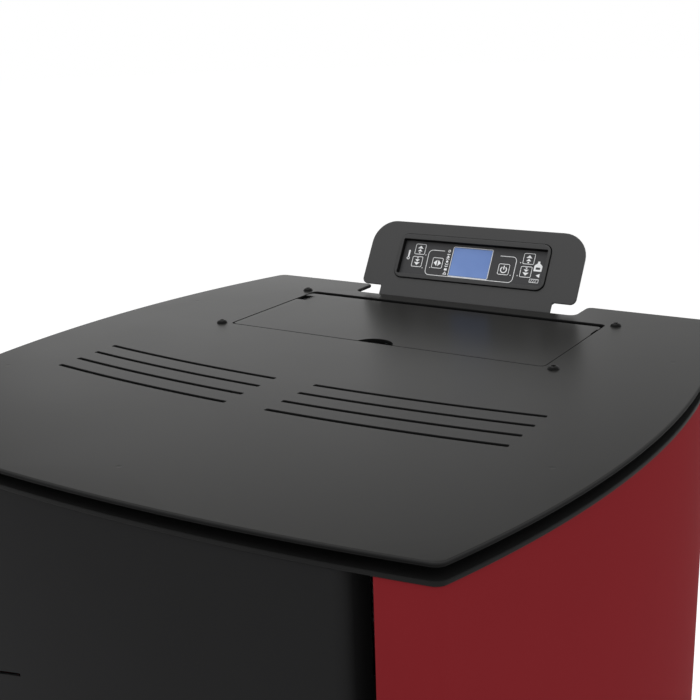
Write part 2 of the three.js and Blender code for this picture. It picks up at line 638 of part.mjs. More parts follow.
function makeLowerFront() {
  const backY = upright.faceY - rest - upright.sheet;
  return toGeometry(bowedSheet(panelLow, level.drawerLow - frontGapZ, backY));
}

function makeRearPanel() {
  const { halfX, ventHalf } = rearPanel;
  let cover = block(-halfX, halfX, rearSheetY - rearPanel.sheet, rearSheetY, panelLow, rimBottom - rest);
  const [before, after] = [0, rearEndY];
  const holes = [
    bar([flueX, before, exhaust.z], [flueX, after, exhaust.z], flue.radius + running, tubeSides),
    bar([intake.x, before, intake.z], [intake.x, after, intake.z], intake.radius + running, tubeSides),
    rearHole(inlet, rest),
    rearHole(rocker, 1.5),
  ];
  for (let row = 0; row < rearPanel.ventCount; row += 1) {
    const z = rearPanel.ventLowZ + row * rearPanel.ventPitch;
    holes.push(block(-ventHalf, ventHalf, before, after, z, z + rearPanel.vent));
  }
  for (const hole of holes) {
    cover = cover.subtract(hole);
  }
  return toGeometry(cover);
}

// The hole for a fitting in the rear panel, larger than the fitting all round.
function rearHole({ x, z, halfX, halfZ }, gap) {
  return block(x - halfX - gap, x + halfX + gap, 0, rearEndY, z - halfZ - gap, z + halfZ + gap);
}

function makeBaseFrame() {
  let plate = raise(planShape(sideReturn.inset + sheet + rest), level.base, baseTop);
  for (const side of [-1, 1]) {
    const { x, half, frontY, rearY, corner } = baseVent;
    const shape = rounded(side * x - half, side * x + half, frontY, rearY, corner);
    plate = plate.subtract(raise(shape, level.base - 1, baseTop + 1));
    plate = plate.add(post(side));
  }
  return toGeometry(plate);
}

function makeFoot(x, y) {
  const top = level.base - rest;
  const profile = [[0, 0], [foot.radius - 2, 0], [foot.radius, 3], [foot.radius - 4, top], [0, top]];
  const geometry = new THREE.LatheGeometry(profile.map((point) => new THREE.Vector2(...point)));
  geometry.rotateX(Math.PI / 2);
  geometry.translate(x, y, 0);
  return toGeometry(toSolid(geometry));
}

// ------------------------------------------------------------------ fire door
function makeDoorFrame() {
  const edge = front.inset;
  let frame = bowedBlock(front.halfWidth, edge, front.corner, door.backY, doorLow, level.doorHigh);
  const { windowHalf, windowLow, windowHigh, windowCorner } = door;
  const opening = rounded(-windowHalf, windowHalf, windowLow, windowHigh, windowCorner);
  frame = frame.subtract(raiseBack(opening, aheadY, door.backY + 1));
  // Rebate for the glass and its retainer, from the back.
  const lap = glass.lap + rest;
  const rebate = block(-door.windowHalf - lap, door.windowHalf + lap, glassY - rest, door.backY + 1,
    door.windowLow - lap, door.windowHigh + lap);
  frame = frame.subtract(rebate);
  frame = frame.subtract(gasketRing(rest, gasket.depth + rest));
  const pinEnd = doorPin.depth + rest;
  const { x, y } = doorPin;
  for (const [z0, z1] of [[doorLow - 1, doorLow + pinEnd], [level.doorHigh - pinEnd, level.doorHigh + 1]]) {
    frame = frame.subtract(bar([x, y, z0], [x, y, z1], doorPin.radius + running));
  }
  const spindleEnd = [handle.x, chamber.frontY, handle.z];
  frame = frame.subtract(bar([handle.x, aheadY, handle.z], spindleEnd, handle.spindle + running));
  return toGeometry(frame);
}

// The rope seal lies in a groove round the back of the door.
function gasketRing(extra, depth) {
  const half = gasket.width / 2 + extra;
  const { halfX, lowZ, highZ, cornerOut, cornerIn } = gasket;
  const outside = rounded(-halfX - half, halfX + half, lowZ - half, highZ + half, cornerOut);
  const inside = rounded(-halfX + half, halfX - half, lowZ + half, highZ - half, cornerIn);
  const end = extra > 0 ? door.backY + 1 : chamber.frontY - rest;
  const start = door.backY - depth;
  return raiseBack(outside, start, end).subtract(raiseBack(inside, start - 1, end + 1));
}

function makeGlass() {
  const lap = glass.lap;
  return toGeometry(block(-door.windowHalf - lap, door.windowHalf + lap, glassY, glassY + glass.thickness,
    door.windowLow - lap, door.windowHigh + lap));
}

function makeRetainer() {
  const lap = glass.lap;
  const y0 = glassY + glass.thickness + rest;
  const y1 = y0 + retainer.thickness;
  const { windowHalf, windowLow, windowHigh } = door;
  const outside = block(-windowHalf - lap, windowHalf + lap, y0, y1, windowLow - lap, windowHigh + lap);
  const inner = retainer.width - lap;
  const inside = block(-windowHalf + inner, windowHalf - inner, y0 - 1, y1 + 1,
    windowLow + inner, windowHigh - inner);
  return toGeometry(outside.subtract(inside));
}

function makeDoorPin(top) {
  const face = top ? level.doorHigh : doorLow;
  const away = top ? 1 : -1;
  const lugFar = face + away * (rest + doorPin.lug + rest);
  const inside = face - away * doorPin.depth;
  const { x, y, radius, head } = doorPin;
  let pin = bar([x, y, Math.min(inside, lugFar)], [x, y, Math.max(inside, lugFar)], radius);
  if (top) {
    pin = pin.add(bar([x, y, lugFar], [x, y, lugFar + 2], head));
  }
  return toGeometry(pin);
}

function makeHandle() {
  const { x, z, reach, grip, gripLength, spindleDepth } = handle;
  const gripY = handleFrontY;
  const spindle = bar([x, gripY, z], [x, door.backY + spindleDepth, z], handle.spindle);
  const boss = bar([x, gripY - grip, z], [x, gripY + reach - 1.5, z], grip + 2);
  const lever = bar([x, gripY, z], [x, gripY, z - gripLength], grip);
  return toGeometry(spindle.add(boss).add(lever));
}

// The cam on the spindle's inner end turns inside the chamber's latch window.
function makeLatch() {
  const y0 = door.backY + rest;
  const y1 = chamber.frontY + chamber.wall + 5;
  const { x, z, spindle, spindleDepth, camRadius, camFlat } = handle;
  const disc = bar([x, y0, z], [x, y1, z], camRadius);
  const far = 2 * camRadius;
  const flat = block(x - far, x - camFlat - spindle, y0 - 1, y1 + 1, z - far, z + far);
  const bore = bar([x, y0 - 1, z], [x, door.backY + spindleDepth + rest, z], spindle + rest);
  return toGeometry(disc.subtract(flat).subtract(bore));
}

// ------------------------------------------------------------------ fire
function makeChamber() {
  const { halfX, frontY, rearY, wall, floorZ, floor, openHalf, openLow, openHigh, drawerBottomZ } = chamber;
  const topZ = level.doorHigh;
  const flangeX = handle.x + handle.camRadius + 6;
  let body = block(-halfX, halfX, frontY, rearY, drawerBottomZ, topZ);
  body = body.add(block(-halfX, flangeX, frontY, frontY + wall, floorZ, topZ));
  const insideX = [-halfX + wall, halfX - wall];
  body = body.subtract(block(...insideX, frontY + wall, rearY - wall, floorZ + floor, topZ - wall));
  body = body.subtract(block(-openHalf, openHalf, frontY - 1, frontY + wall + 1, openLow, openHigh));
  body = body.subtract(block(...insideX, frontY - 1, rearY - wall, drawerBottomZ + wall, floorZ));
  // Side walls run down to the base as legs.
  for (const side of [-1, 1]) {
    const leg = [side * (halfX - wall), side * halfX].sort((a, b) => a - b);
    body = body.add(block(...leg, frontY, rearY, panelLow, drawerBottomZ + 1));
    const ledge = [side * (halfX - wall - chamber.ledge), side * (halfX - 1)].sort((a, b) => a - b);
    const [ledgeFront, ledgeRear] = [frontY + chamber.ledgeInset, rearY - chamber.ledgeInset];
    body = body.add(block(...ledge, ledgeFront, ledgeRear, baffle.z - rest - wall, baffle.z - rest));
  }
  // Hinge lugs above and below the door.
  for (const z of [level.doorHigh + rest, doorLow - rest - doorPin.lug]) {
    const lug = block(doorPin.x - 8, doorPin.x + 12, doorPin.y - 7, frontY + 1, z, z + doorPin.lug);
    const rootHigh = topZ + rest + doorPin.lug;
    const root = block(doorPin.x + 3, doorPin.x + 12, frontY, frontY + wall, doorLow - 8, rootHigh);
    body = body.add(lug).add(root);
  }
  const pinLow = [doorPin.x, doorPin.y, doorLow - doorPin.depth];
  body = body.subtract(bar(pinLow, [doorPin.x, doorPin.y, topZ + doorPin.depth], doorPin.radius + rest / 2));
  // Openings: latch window, ash drop under the pot, pellet chute, igniter, smoke outlet and air inlet.
  const latch = handle.camRadius + 2.5;
  const bore = chute.half - chute.wall;
  const floorCut = [floorZ - 1, floorZ + floor + 1];
  const potInset = 14;
  const underPot = pot.halfX - potInset;
  const cuts = [
    bar([handle.x, frontY - 1, handle.z], [handle.x, frontY + 13, handle.z], latch),
    block(-underPot, underPot, pot.frontY + potInset, pot.rearY - potInset, ...floorCut),
    block(-halfX + 20, -pot.halfX - 12, frontY + 30, rearY - 40, ...floorCut),
    block(pot.halfX + 12, halfX - 20, frontY + 30, rearY - 40, ...floorCut),
    augerBlock(bore, chute.along - bore, chute.along + bore, 50, chute.reach),
    bar([0, rearY - 10, igniter.z], [0, rearY + 10, igniter.z], igniter.radius + rest),
    bar([exhaust.x, rearY - 10, exhaust.z], [exhaust.x, rearY + 10, exhaust.z], exhaust.eye, tubeSides),
    bar([intake.x, rearY - 10, intake.z], [intake.x, rearY + 10, intake.z],
      intake.radius - intake.wall, tubeSides),
  ];
  for (const cut of cuts) {
    body = body.subtract(cut);
  }
  return toGeometry(body);
}

function makeFireBack() {
  const halfX = chamber.halfX - chamber.wall - 1;
  const rear = chamber.rearY - chamber.wall - rest;
  const low = chamber.floorZ + chamber.floor + rest;
  const { thickness, topZ, groove, grooveDepth, grooves } = fireBack;
  const face = rear - thickness;
  let plate = block(-halfX, halfX, face, rear, low, topZ);
  for (let index = 0; index < grooves; index += 1) {
    const x = -halfX + (index + 0.5) * 2 * halfX / grooves;
    const across = [x - groove / 2, x + groove / 2];
    const grooveZ = [low + fireBack.grooveLow, topZ - fireBack.grooveHigh];
    plate = plate.subtract(block(...across, face - 1, face + grooveDepth, ...grooveZ));
  }
  const { half, along, reach } = chute;
  plate = plate.subtract(augerBlock(half, along - half, along + half, 50, reach + thickness + 18));
  const hole = bar([0, face - 1, igniter.z], [0, rear + 1, igniter.z], igniter.radius + rest);
  return toGeometry(plate.subtract(hole));
}

function makeBaffle() {
  const halfX = chamber.halfX - chamber.wall - 1;
  const frontY = chamber.rearY - chamber.wall - fireBack.thickness - 8 - baffle.depth;
  let plate = block(-halfX, halfX, frontY, frontY + baffle.depth, baffle.z, baffle.z + baffle.thickness);
  const { slotHalf, slotPitch, z, thickness } = baffle;
  for (const x of [-slotPitch, 0, slotPitch]) {
    const across = [x - slotHalf, x + slotHalf];
    plate = plate.subtract(block(...across, frontY + 14, frontY + 30, z - 1, z + thickness + 1));
  }
  return toGeometry(plate);
}

function makePot() {
  const low = chamber.floorZ + chamber.floor + rest;
  const high = low + pot.height;
  const { halfX, frontY, rearY, wall, lip } = pot;
  let cup = block(-halfX, halfX, frontY, rearY, low, high);
  cup = cup.add(block(-halfX - lip, halfX + lip, frontY - lip, rearY + lip / 2, high - 5, high));
  cup = cup.subtract(block(-halfX + wall, halfX - wall, frontY + wall, rearY - wall, low + wall, high + 1));
  const middle = (frontY + rearY) / 2;
  for (const column of [-1, 0, 1]) {
    for (const row of [-1, 0, 1]) {
      const x = column * 20;
      const y = middle + row * 18;
      cup = cup.subtract(bar([x, y, low - 1], [x, y, low + wall + 1], pot.holeRadius, 8));
    }
  }
  const flame = bar([0, rearY - 10, igniter.z], [0, rearY + 5, igniter.z], igniter.radius);
  return toGeometry(cup.subtract(flame));
}

function makeIgniter() {
  const tip = pot.rearY + 2;
  const { z, length, radius, wall } = igniter;
  return toGeometry(pipe([0, tip, z], [0, tip + length, z], radius, wall));
}

function makeAshTray() {
  const { halfX, rearY, wall } = tray;
  const frontY = door.backY + rest;
  const lowZ = chamber.drawerBottomZ + chamber.wall + rest;
  const highZ = lowZ + tray.height;
  const body = block(-halfX, halfX, frontY, rearY, lowZ, highZ);
  const hollow = block(-halfX + wall, halfX - wall, frontY + wall, rearY - wall, lowZ + wall, highZ + 1);
  return toGeometry(body.subtract(hollow));
}

function makeDrawerFront() {
  const { halfWidth, inset, corner, sheet: skin } = front;
  const { drawerLow, drawerHigh } = level;
  const outside = bowedBlock(halfWidth, inset, corner, door.backY, drawerLow, drawerHigh);
  const inside = bowedBlock(halfWidth - skin, inset + skin, corner - skin, door.backY - skin,
    drawerLow + skin, drawerHigh - skin);
  // A finger cut-out in the middle of the lower edge opens the hollow front.
  const { gripHalf, gripHeight, gripCorner } = tray;
  const gripLow = drawerLow - 2 * gripCorner;
  const gripShape = rounded(-gripHalf, gripHalf, gripLow, drawerLow + gripHeight, gripCorner);
  const gripCut = raiseBack(gripShape, aheadY, door.backY - skin);
  return toGeometry(outside.subtract(inside).subtract(gripCut));
}

// ------------------------------------------------------------------ air and smoke
const housingFrontY = chamber.rearY + rest;

function makeExhaustHousing() {
  const { x, z, radius, depth, wall, eye, outletHalf } = exhaust;
  const y0 = housingFrontY;
  const y1 = y0 + depth;
  const outletHigh = z + outletHalf;
  const outer = bar([x, y0, z], [x, y1, z], radius, tubeSides).add(
    block(x, flueX + outletHalf, y0, y1, z - outletHalf, outletHigh));
  const inner = bar([x, y0 + wall, z], [x, y1 - wall, z], radius - wall, tubeSides).add(
    block(x, flueX + outletHalf - wall, y0 + wall, y1 - wall, z - outletHalf + wall, outletHigh - wall));
  const cuts = [
    bar([x, y0 - 1, z], [x, y0 + wall + 1, z], eye),
    bar([x, y1 - wall - 1, z], [x, y1 + 1, z], impeller.shaft + running + 1),
    bar([flueX, y1 - wall - 1, z], [flueX, y1 + 1, z], flue.radius - flue.wall, tubeSides),
  ];
  return toGeometry(cuts.reduce((body, cut) => body.subtract(cut), outer.subtract(inner)));
}

function makeImpeller() {
  const y1 = housingFrontY + exhaust.depth - exhaust.wall - 4;
  const y0 = y1 - impeller.width;
  const { x, z } = exhaust;
  const shaftEnd = housingFrontY + exhaust.depth + 16;
  let wheel = bar([x, y1 - 2, z], [x, y1, z], impeller.radius);
  wheel = wheel.add(bar([x, y0 + 6, z], [x, shaftEnd, z], impeller.shaft));
  const { radius, shaft, hub, blades, width, bladeThickness } = impeller;
  wheel = wheel.add(bar([x, y0 + 6, z], [x, y1, z], shaft + hub));
  for (let index = 0; index < blades; index += 1) {
    const blade = new THREE.BoxGeometry(radius - shaft - 4, width - 1, bladeThickness);
    blade.translate((radius + shaft + 2) / 2, (y0 + y1) / 2, 0);
    blade.rotateY(2 * Math.PI * index / blades);
    blade.translate(x, 0, z);
    wheel = wheel.add(toSolid(blade));
  }
  return toGeometry(wheel);
}

function makeExhaustMotor() {
  const y0 = housingFrontY + exhaust.depth + rest;
  const { x, z } = exhaust;
  const can = bar([x, y0, z], [x, y0 + motor.length, z], motor.radius);
  const plateX = motor.radius + motor.plateOver;
  const plateZ = motor.radius - motor.plateOver;
  const plate = block(x - plateX, x + plateX, y0, y0 + motor.plate, z - plateZ, z + plateZ);
  const bore = bar([x, y0 - 1, z], [x, y0 + 20, z], impeller.shaft + running);
  return toGeometry(can.add(plate).subtract(bore));
}

function makeFlue() {
  const y0 = housingFrontY + exhaust.depth + rest;
  return toGeometry(pipe([flueX, y0, exhaust.z], [flueX, rearEndY, exhaust.z], flue.radius, flue.wall));
}

function makeIntake() {
  const end = stove.rearY + intake.reach;
  const start = [intake.x, chamber.rearY + rest, intake.z];
  return toGeometry(pipe(start, [intake.x, end, intake.z], intake.radius, intake.wall));
}

const blowerAxis = { y: (blower.frontY + blower.rearY) / 2, z: (panelLow + blower.highZ) / 2 };

function makeBlowerHousing() {
  const { halfX, frontY, rearY, highZ, wall, rotor } = blower;
  const { y, z } = blowerAxis;
  let body = block(-halfX, halfX, frontY, rearY, panelLow, highZ);
  body = body.subtract(bar([-halfX + wall, y, z], [halfX - wall, y, z], rotor + 6, tubeSides));
  body = body.subtract(block(-halfX + wall, halfX - wall, y, rearY - wall * 2, z, highZ + 1));
  body = body.subtract(block(-halfX + wall, halfX - wall, frontY - 1, y, panelLow + 16, highZ - 22));
  body = body.subtract(bar([-halfX - 1, y, z], [halfX + 1, y, z], blower.shaft + running));
  return toGeometry(body);
}

function makeBlowerRotor() {
  const { halfX, wall, rotor, blades, shaft } = blower;
  const { y, z } = blowerAxis;
  const inner = halfX - wall - 3;
  let wheel = bar([-halfX - 2, y, z], [halfX + 2, y, z], shaft);
  for (const x of [-inner, inner - 2]) {
    wheel = wheel.add(bar([x, y, z], [x + 2, y, z], rotor));
  }
  for (let index = 0; index < blades; index += 1) {
    const blade = new THREE.BoxGeometry(2 * inner, 1.5, 10);
    blade.translate(0, 0, rotor - 6);
    blade.rotateX(2 * Math.PI * index / blades);
    blade.translate(0, y, z);
    wheel = wheel.add(toSolid(blade));
  }
  return toGeometry(wheel);
}

// ------------------------------------------------------------------ electrics
function makeInlet() {
  const { x, z, halfX, halfZ, flangeX, flangeZ, depth } = inlet;
  const face = rearSheetY + rest;
  const { flange, wall } = inlet;
  let socket = block(x - flangeX, x + flangeX, face, face + flange, z - flangeZ, z + flangeZ);
  socket = socket.add(block(x - halfX, x + halfX, face - depth, face + 1, z - halfZ, z + halfZ));
  socket = socket.subtract(block(x - halfX + wall, x + halfX - wall, face - depth + flange, face + flange + 1,
    z - halfZ + wall, z + halfZ - wall));
  for (const offset of [-7, 0, 7]) {
    socket = socket.add(block(x + offset - 1, x + offset + 1, face - depth + 2, face - 4, z - 2.5, z + 2.5));
  }
  return toGeometry(socket.add(rockerFrame()));
}

const rockerPivotY = rearSheetY + 1;

function rockerFrame() {
  const { x, z, halfX, halfZ, depth } = rocker;
  const face = rearSheetY + rest;
  const low = inlet.z + inlet.flangeZ - 1;
  const wallX = halfX + 1.2;
  const wallZ = halfZ + 1.2;
  let frame = block(x - inlet.flangeX, x + inlet.flangeX, face, face + inlet.flange, low, z + halfZ + 5);
  frame = frame.add(block(x - wallX, x + wallX, face - depth, face + 1, z - wallZ, z + wallZ));
  return frame.subtract(block(x - halfX, x + halfX, face - depth + 2, face + 4, z - halfZ, z + halfZ));
}

// The rocker lies pressed to its off side; its pivot is the group's origin.
function makeRocker() {
  const half = rocker.halfZ - 0.8;
  const shape = new THREE.Shape();
  shape.moveTo(-half, -1);
  shape.lineTo(0, -8);
  shape.lineTo(half, -1);
  shape.lineTo(half - 0.6, 3.2);
  shape.lineTo(0, 2);
  shape.lineTo(-half + 0.6, 3.2);
  shape.closePath();
  const width = 2 * (rocker.halfX - 0.5);
  const geometry = new THREE.ExtrudeGeometry(shape, { depth: width, bevelEnabled: false });
  geometry.translate(0, 0, -width / 2);
  geometry.rotateY(Math.PI / 2);
  return toGeometry(toSolid(geometry));
}

function makeBoard() {
  const { x, z, halfX, halfZ } = board;
  const rear = rearSheetY - rearPanel.sheet - rest;
  const face = rear - board.standoff - board.sheet;
  let plate = block(x - halfX, x + halfX, face, face + board.sheet, z - halfZ, z + halfZ);
  for (const sx of [-1, 1]) {
    for (const sz of [-1, 1]) {
      const cx = x + sx * (halfX - 7);
      const cz = z + sz * (halfZ - 7);
      plate = plate.add(bar([cx, face + 1, cz], [cx, rear, cz], 3));
    }
  }
  for (const [shareX, shareZ, wide, high, tall] of boardParts) {
    const [partX, partZ] = [x + shareX * halfX, z + shareZ * halfZ];
    const [wideX, wideZ] = [wide * halfX, high * halfZ];
    const across = [partX - wideX, partX + wideX];
    plate = plate.add(block(...across, face - tall, face + 1, partZ - wideZ, partZ + wideZ));
  }
  return toGeometry(plate);
}

// ------------------------------------------------------------------ control panel
const lean = THREE.MathUtils.degToRad(panel.lean);
// Panel frame: x across, y up the slope, z out of its face; its origin is where the face meets the
// level of the top plate.
const panelMatrix = new THREE.Matrix4().makeRotationX(Math.PI / 2 - lean);
panelMatrix.setPosition(0, panel.planeY, stove.height);

function bracketShape() {
  const { halfWidth, low, high, topCorner, lowCorner, neckHalf } = panel;
  const quarter = Math.PI / 2;
  return new THREE.Shape([
    new THREE.Vector2(-neckHalf, -panel.neckDrop),
    new THREE.Vector2(neckHalf, -panel.neckDrop),
    new THREE.Vector2(neckHalf, low),
    ...arcPoints(halfWidth - lowCorner, low + lowCorner, lowCorner, -quarter, 0, cornerSteps),
    ...arcPoints(halfWidth - topCorner, high - topCorner, topCorner, 0, quarter, 2 * cornerSteps),
    ...arcPoints(-halfWidth + topCorner, high - topCorner, topCorner, quarter, 2 * quarter, 2 * cornerSteps),
    ...arcPoints(-halfWidth + lowCorner, low + lowCorner, lowCorner, 2 * quarter, 3 * quarter, cornerSteps),
    new THREE.Vector2(-neckHalf, low),
  ]);
}

function makeBracket() {
  const geometry = new THREE.ExtrudeGeometry(bracketShape(), { depth: panel.sheet, bevelEnabled: false });
  geometry.translate(0, 0, -panel.sheet);
  geometry.applyMatrix4(panelMatrix);
  let plate = toSolid(geometry);
  const seat = rimTop + rest;
  const { halfWidth, neckHalf, planeY, footDepth } = panel;
  plate = plate.subtract(block(-halfWidth, halfWidth, -halfWidth, halfWidth, seat - panel.high, seat));
  const bendY = planeY - (stove.height - seat) * Math.tan(lean);
  plate = plate.add(block(-neckHalf, neckHalf, bendY + 0.5, bendY + footDepth, seat, seat + panel.sheet));
  const { halfX, low, high, corner } = screen;
  return toGeometry(plate.subtract(panelSolid(rounded(-halfX, halfX, low, high, corner), -10, 10)));
}

// A shape of the panel frame, from depth z0 to z1, in the stove's directions.
function panelSolid(shape, z0, z1) {
  const geometry = new THREE.ExtrudeGeometry(shape, { depth: z1 - z0, bevelEnabled: false });
  geometry.translate(0, 0, z0);
  geometry.applyMatrix4(panelMatrix);
  return toSolid(geometry);
}

function makeHousing() {
  const { halfX, low, high, corner, gap } = screen;
  const { flange } = housing;
  const ring = rounded(-halfX + gap, halfX - gap, low + gap, high - gap, corner - gap);
  const back = rounded(-halfX - flange, halfX + flange, low - flange, high + flange, corner);
  let body = raise(ring, -panel.sheet - 1, housing.lip);
  body = body.add(raise(back, -housing.depth, -panel.sheet - rest));
  // The bezel slopes down to the foil; a ledge carries the foil's edge.
  const seatZ = -foil.sink - foil.thickness;
  body = body.subtract(bezelCut());
  const ledge = foil.ledge;
  const wellShape = rounded(-foil.halfX + ledge, foil.halfX - ledge, foil.low + ledge, foil.high - ledge, 2);
  const well = raise(wellShape, -housing.depth + housing.wall, seatZ + 1);
  return toGeometry(body.subtract(well).subtract(raise(foilShape(rest), seatZ, housing.lip + 1)));
}

function foilShape(grow) {
  return rounded(-foil.halfX - grow, foil.halfX + grow, foil.low - grow, foil.high + grow, 2);
}

function bezelCut() {
  const edge = 1;
  const inset = screen.gap + edge;
  const outer = [screen.halfX - inset, screen.low + inset, screen.high - inset];
  const out = 1 + housing.lip;
  const slope = (outer[0] - foil.halfX) / (foil.sink + housing.lip);
  return funnel([
    [-foil.sink - 0.2, foil.halfX, foil.low, foil.high],
    [housing.lip, outer[0], outer[1], outer[2]],
    [out, outer[0] + slope, outer[1] - 1, outer[2] + 1],
  ]);
}

function makeFoil() {
  const seatZ = -foil.sink - foil.thickness + rest;
  let sheetBody = raise(foilShape(0), seatZ, -foil.sink + rest);
  const windowHole = rounded(display.left, display.right, display.low, display.high, display.corner);
  sheetBody = sheetBody.subtract(raise(windowHole, -8, 1));
  for (const [, x, y] of keyPlaces) {
    const hole = rounded(x - key.halfX, x + key.halfX, y - key.halfY, y + key.halfY, key.corner);
    sheetBody = sheetBody.subtract(raise(hole, -8, 1));
  }
  return toGeometry(sheetBody);
}

function makeDisplay() {
  const { left, right, low, high, corner } = display;
  const shape = rounded(left + rest, right - rest, low + rest, high - rest, corner - rest);
  const face = raise(shape, -foil.sink - foil.thickness + rest, -foil.sink + rest);
  const cell = raise(rounded(left + 1, right - 1, low + 1, high - 1, 1), boardTop - 1, -foil.sink);
  const ledge = foil.ledge + rest;
  const boardX = foil.halfX - ledge;
  const boardShape = rounded(-boardX, boardX, foil.low + ledge, foil.high - ledge, 1.5);
  return toGeometry(face.add(cell).add(raise(boardShape, boardTop - 1.6, boardTop)));
}

const boardTop = -foil.sink - foil.thickness - key.stem;

function makeKey() {
  const [capX, capY] = [key.halfX - key.gap, key.halfY - key.gap];
  const cap = rounded(-capX, capX, -capY, capY, key.corner - key.gap);
  const pad = raise(cap, -foil.sink - foil.thickness + rest, -foil.sink + rest);
  const stem = bar([0, 0, boardTop + key.travel + 0.2], [0, 0, -foil.sink], 2, 8);
  return toGeometry(pad.add(stem));
}

// ------------------------------------------------------------------ materials and assembly
function paint(color, roughness, metalness = 0) {
  return () => new THREE.MeshStandardMaterial({ color, roughness, metalness });
}
const blackPaint = paint(0x4a4a4a, 0.55);
const redPaint = paint(0x8a2026, 0.5);
const castIron = paint(0x3a3836, 0.8, 0.4);
const steel = paint(0x8a8c8e, 0.4, 0.8);
const zincSheet = paint(0xa4a7aa, 0.5, 0.7);
const blackPlastic = paint(0x262628, 0.45);
const rubber = paint(0x1c1c1c, 0.9);
const rope = paint(0x9a948a, 0.95);
const clearGlass = paint(0x2b2620, 0.08);
const blueScreen = paint(0x6e82be, 0.25);
const brick = paint(0xb8a888, 0.95);
const boardGreen = paint(0x1f5a38, 0.6);

const stoveGroup = new THREE.Group();
stoveGroup.position.y = -(frontEndY + rearEndY) / 2;

function add(name, geometry, material, parent = stoveGroup) {
  const mesh = new THREE.Mesh(geometry, material());
  mesh.name = name;
  parent.add(mesh);
  return mesh;
}

add('top_plate', makeTopPlate(), blackPaint);
add('rim_plate', makeRimPlate(), blackPaint);
const screwNames = ['front_left', 'rear_left', 'front_right', 'rear_right'];
screwPlaces.forEach((place, index) => add(`hopper_screw_${screwNames[index]}`, makeScrew(place), blackPaint));
add('hopper_lid', makeLid(), blackPaint);
add('lid_pin_left', makeLidPin(-1), steel);
add('lid_pin_right', makeLidPin(1), steel);
add('hopper', makeHopper(), zincSheet);
add('auger_tube', makeAugerTube(), steel);
add('auger_screw', makeAugerScrew(), steel);
add('auger_gearmotor', makeAugerMotor(), steel);
add('feed_chute', makeFeedChute(), zincSheet);

add('side_panel_left', makeSidePanel(-1), redPaint);
add('side_panel_right', makeSidePanel(1), redPaint);
add('upper_front_panel', makeUpperFront(), blackPaint);
add('lower_front_panel', makeLowerFront(), blackPaint);
add('rear_panel', makeRearPanel(), blackPaint);
add('base_frame', makeBaseFrame(), blackPaint);
for (const [name, x, y] of [['front_left', -foot.x, foot.frontY], ['front_right', foot.x, foot.frontY],
  ['rear_left', -foot.x, foot.rearY], ['rear_right', foot.x, foot.rearY]]) {
  add(`foot_${name}`, makeFoot(x, y), rubber);
}

add('door_frame', makeDoorFrame(), castIron);
add('door_glass', makeGlass(), clearGlass);
add('glass_retainer', makeRetainer(), steel);
add('door_gasket', toGeometry(gasketRing(0, gasket.depth)), rope);
add('door_pin_top', makeDoorPin(true), steel);
add('door_pin_bottom', makeDoorPin(false), steel);
add('door_handle', makeHandle(), steel);
add('door_latch', makeLatch(), steel);

add('fire_chamber', makeChamber(), castIron);
add('fire_back', makeFireBack(), brick);
add('baffle_plate', makeBaffle(), castIron);
add('burn_pot', makePot(), castIron);
add('igniter', makeIgniter(), steel);
add('ash_tray', makeAshTray(), zincSheet);
add('ash_drawer_front', makeDrawerFront(), blackPaint);

add('exhaust_fan_housing', makeExhaustHousing(), steel);
add('exhaust_impeller', makeImpeller(), steel);
add('exhaust_motor', makeExhaustMotor(), blackPaint);
add('flue_spigot', makeFlue(), blackPaint);
add('air_intake_pipe', makeIntake(), zincSheet);
add('room_fan_housing', makeBlowerHousing(), zincSheet);
add('room_fan_rotor', makeBlowerRotor(), steel);

add('mains_inlet', makeInlet(), blackPlastic);
const rockerMesh = add('rocker_switch', makeRocker(), blackPlastic);
rockerMesh.position.set(rocker.x, rockerPivotY, rocker.z);
rockerMesh.rotation.x = THREE.MathUtils.degToRad(rocker.tilt);
add('control_board', makeBoard(), boardGreen);

const panelGroup = new THREE.Group();
panelGroup.rotation.x = Math.PI / 2 - lean;
panelGroup.position.set(0, panel.planeY, stove.height);
stoveGroup.add(panelGroup);
add('panel_bracket', makeBracket(), blackPaint);
add('display_housing', makeHousing(), blackPlastic, panelGroup);
add('display_foil', makeFoil(), blackPlastic, panelGroup);
add('display_module', makeDisplay(), blueScreen, panelGroup);
for (const [name, x, y] of keyPlaces) {
  add(`key_${name}`, makeKey(), blackPlastic, panelGroup).position.set(x, y, 0);
}

export default stoveGroup;
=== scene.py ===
"""Looks of a pellet stove with a bowed black front, bowed red sides and a leaning control panel.

Sizes are millimetres in the plan frame of the stove: its origin is on the floor, below the middle of
the two rear hopper screws, with +Z up and the front towards -Y. make() turns them into metres and
moves them to the frame's origin.
"""
import math
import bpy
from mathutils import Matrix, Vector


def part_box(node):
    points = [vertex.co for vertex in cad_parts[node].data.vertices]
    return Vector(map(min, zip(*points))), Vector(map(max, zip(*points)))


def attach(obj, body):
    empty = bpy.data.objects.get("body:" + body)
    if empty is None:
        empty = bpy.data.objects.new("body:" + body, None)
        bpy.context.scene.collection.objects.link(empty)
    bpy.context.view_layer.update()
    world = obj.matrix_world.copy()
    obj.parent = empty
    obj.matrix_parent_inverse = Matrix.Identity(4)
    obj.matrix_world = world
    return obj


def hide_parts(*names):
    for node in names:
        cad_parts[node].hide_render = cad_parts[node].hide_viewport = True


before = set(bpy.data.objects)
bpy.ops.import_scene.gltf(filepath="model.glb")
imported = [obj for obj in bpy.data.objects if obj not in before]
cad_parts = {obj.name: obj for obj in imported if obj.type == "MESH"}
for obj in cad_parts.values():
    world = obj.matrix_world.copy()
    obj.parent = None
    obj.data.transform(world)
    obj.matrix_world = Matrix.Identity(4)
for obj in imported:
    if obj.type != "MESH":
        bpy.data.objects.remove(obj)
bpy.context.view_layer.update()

from types import SimpleNamespace as Sizes

import bmesh
import bpy
from mathutils import Matrix, Vector
from mathutils.geometry import delaunay_2d_cdt

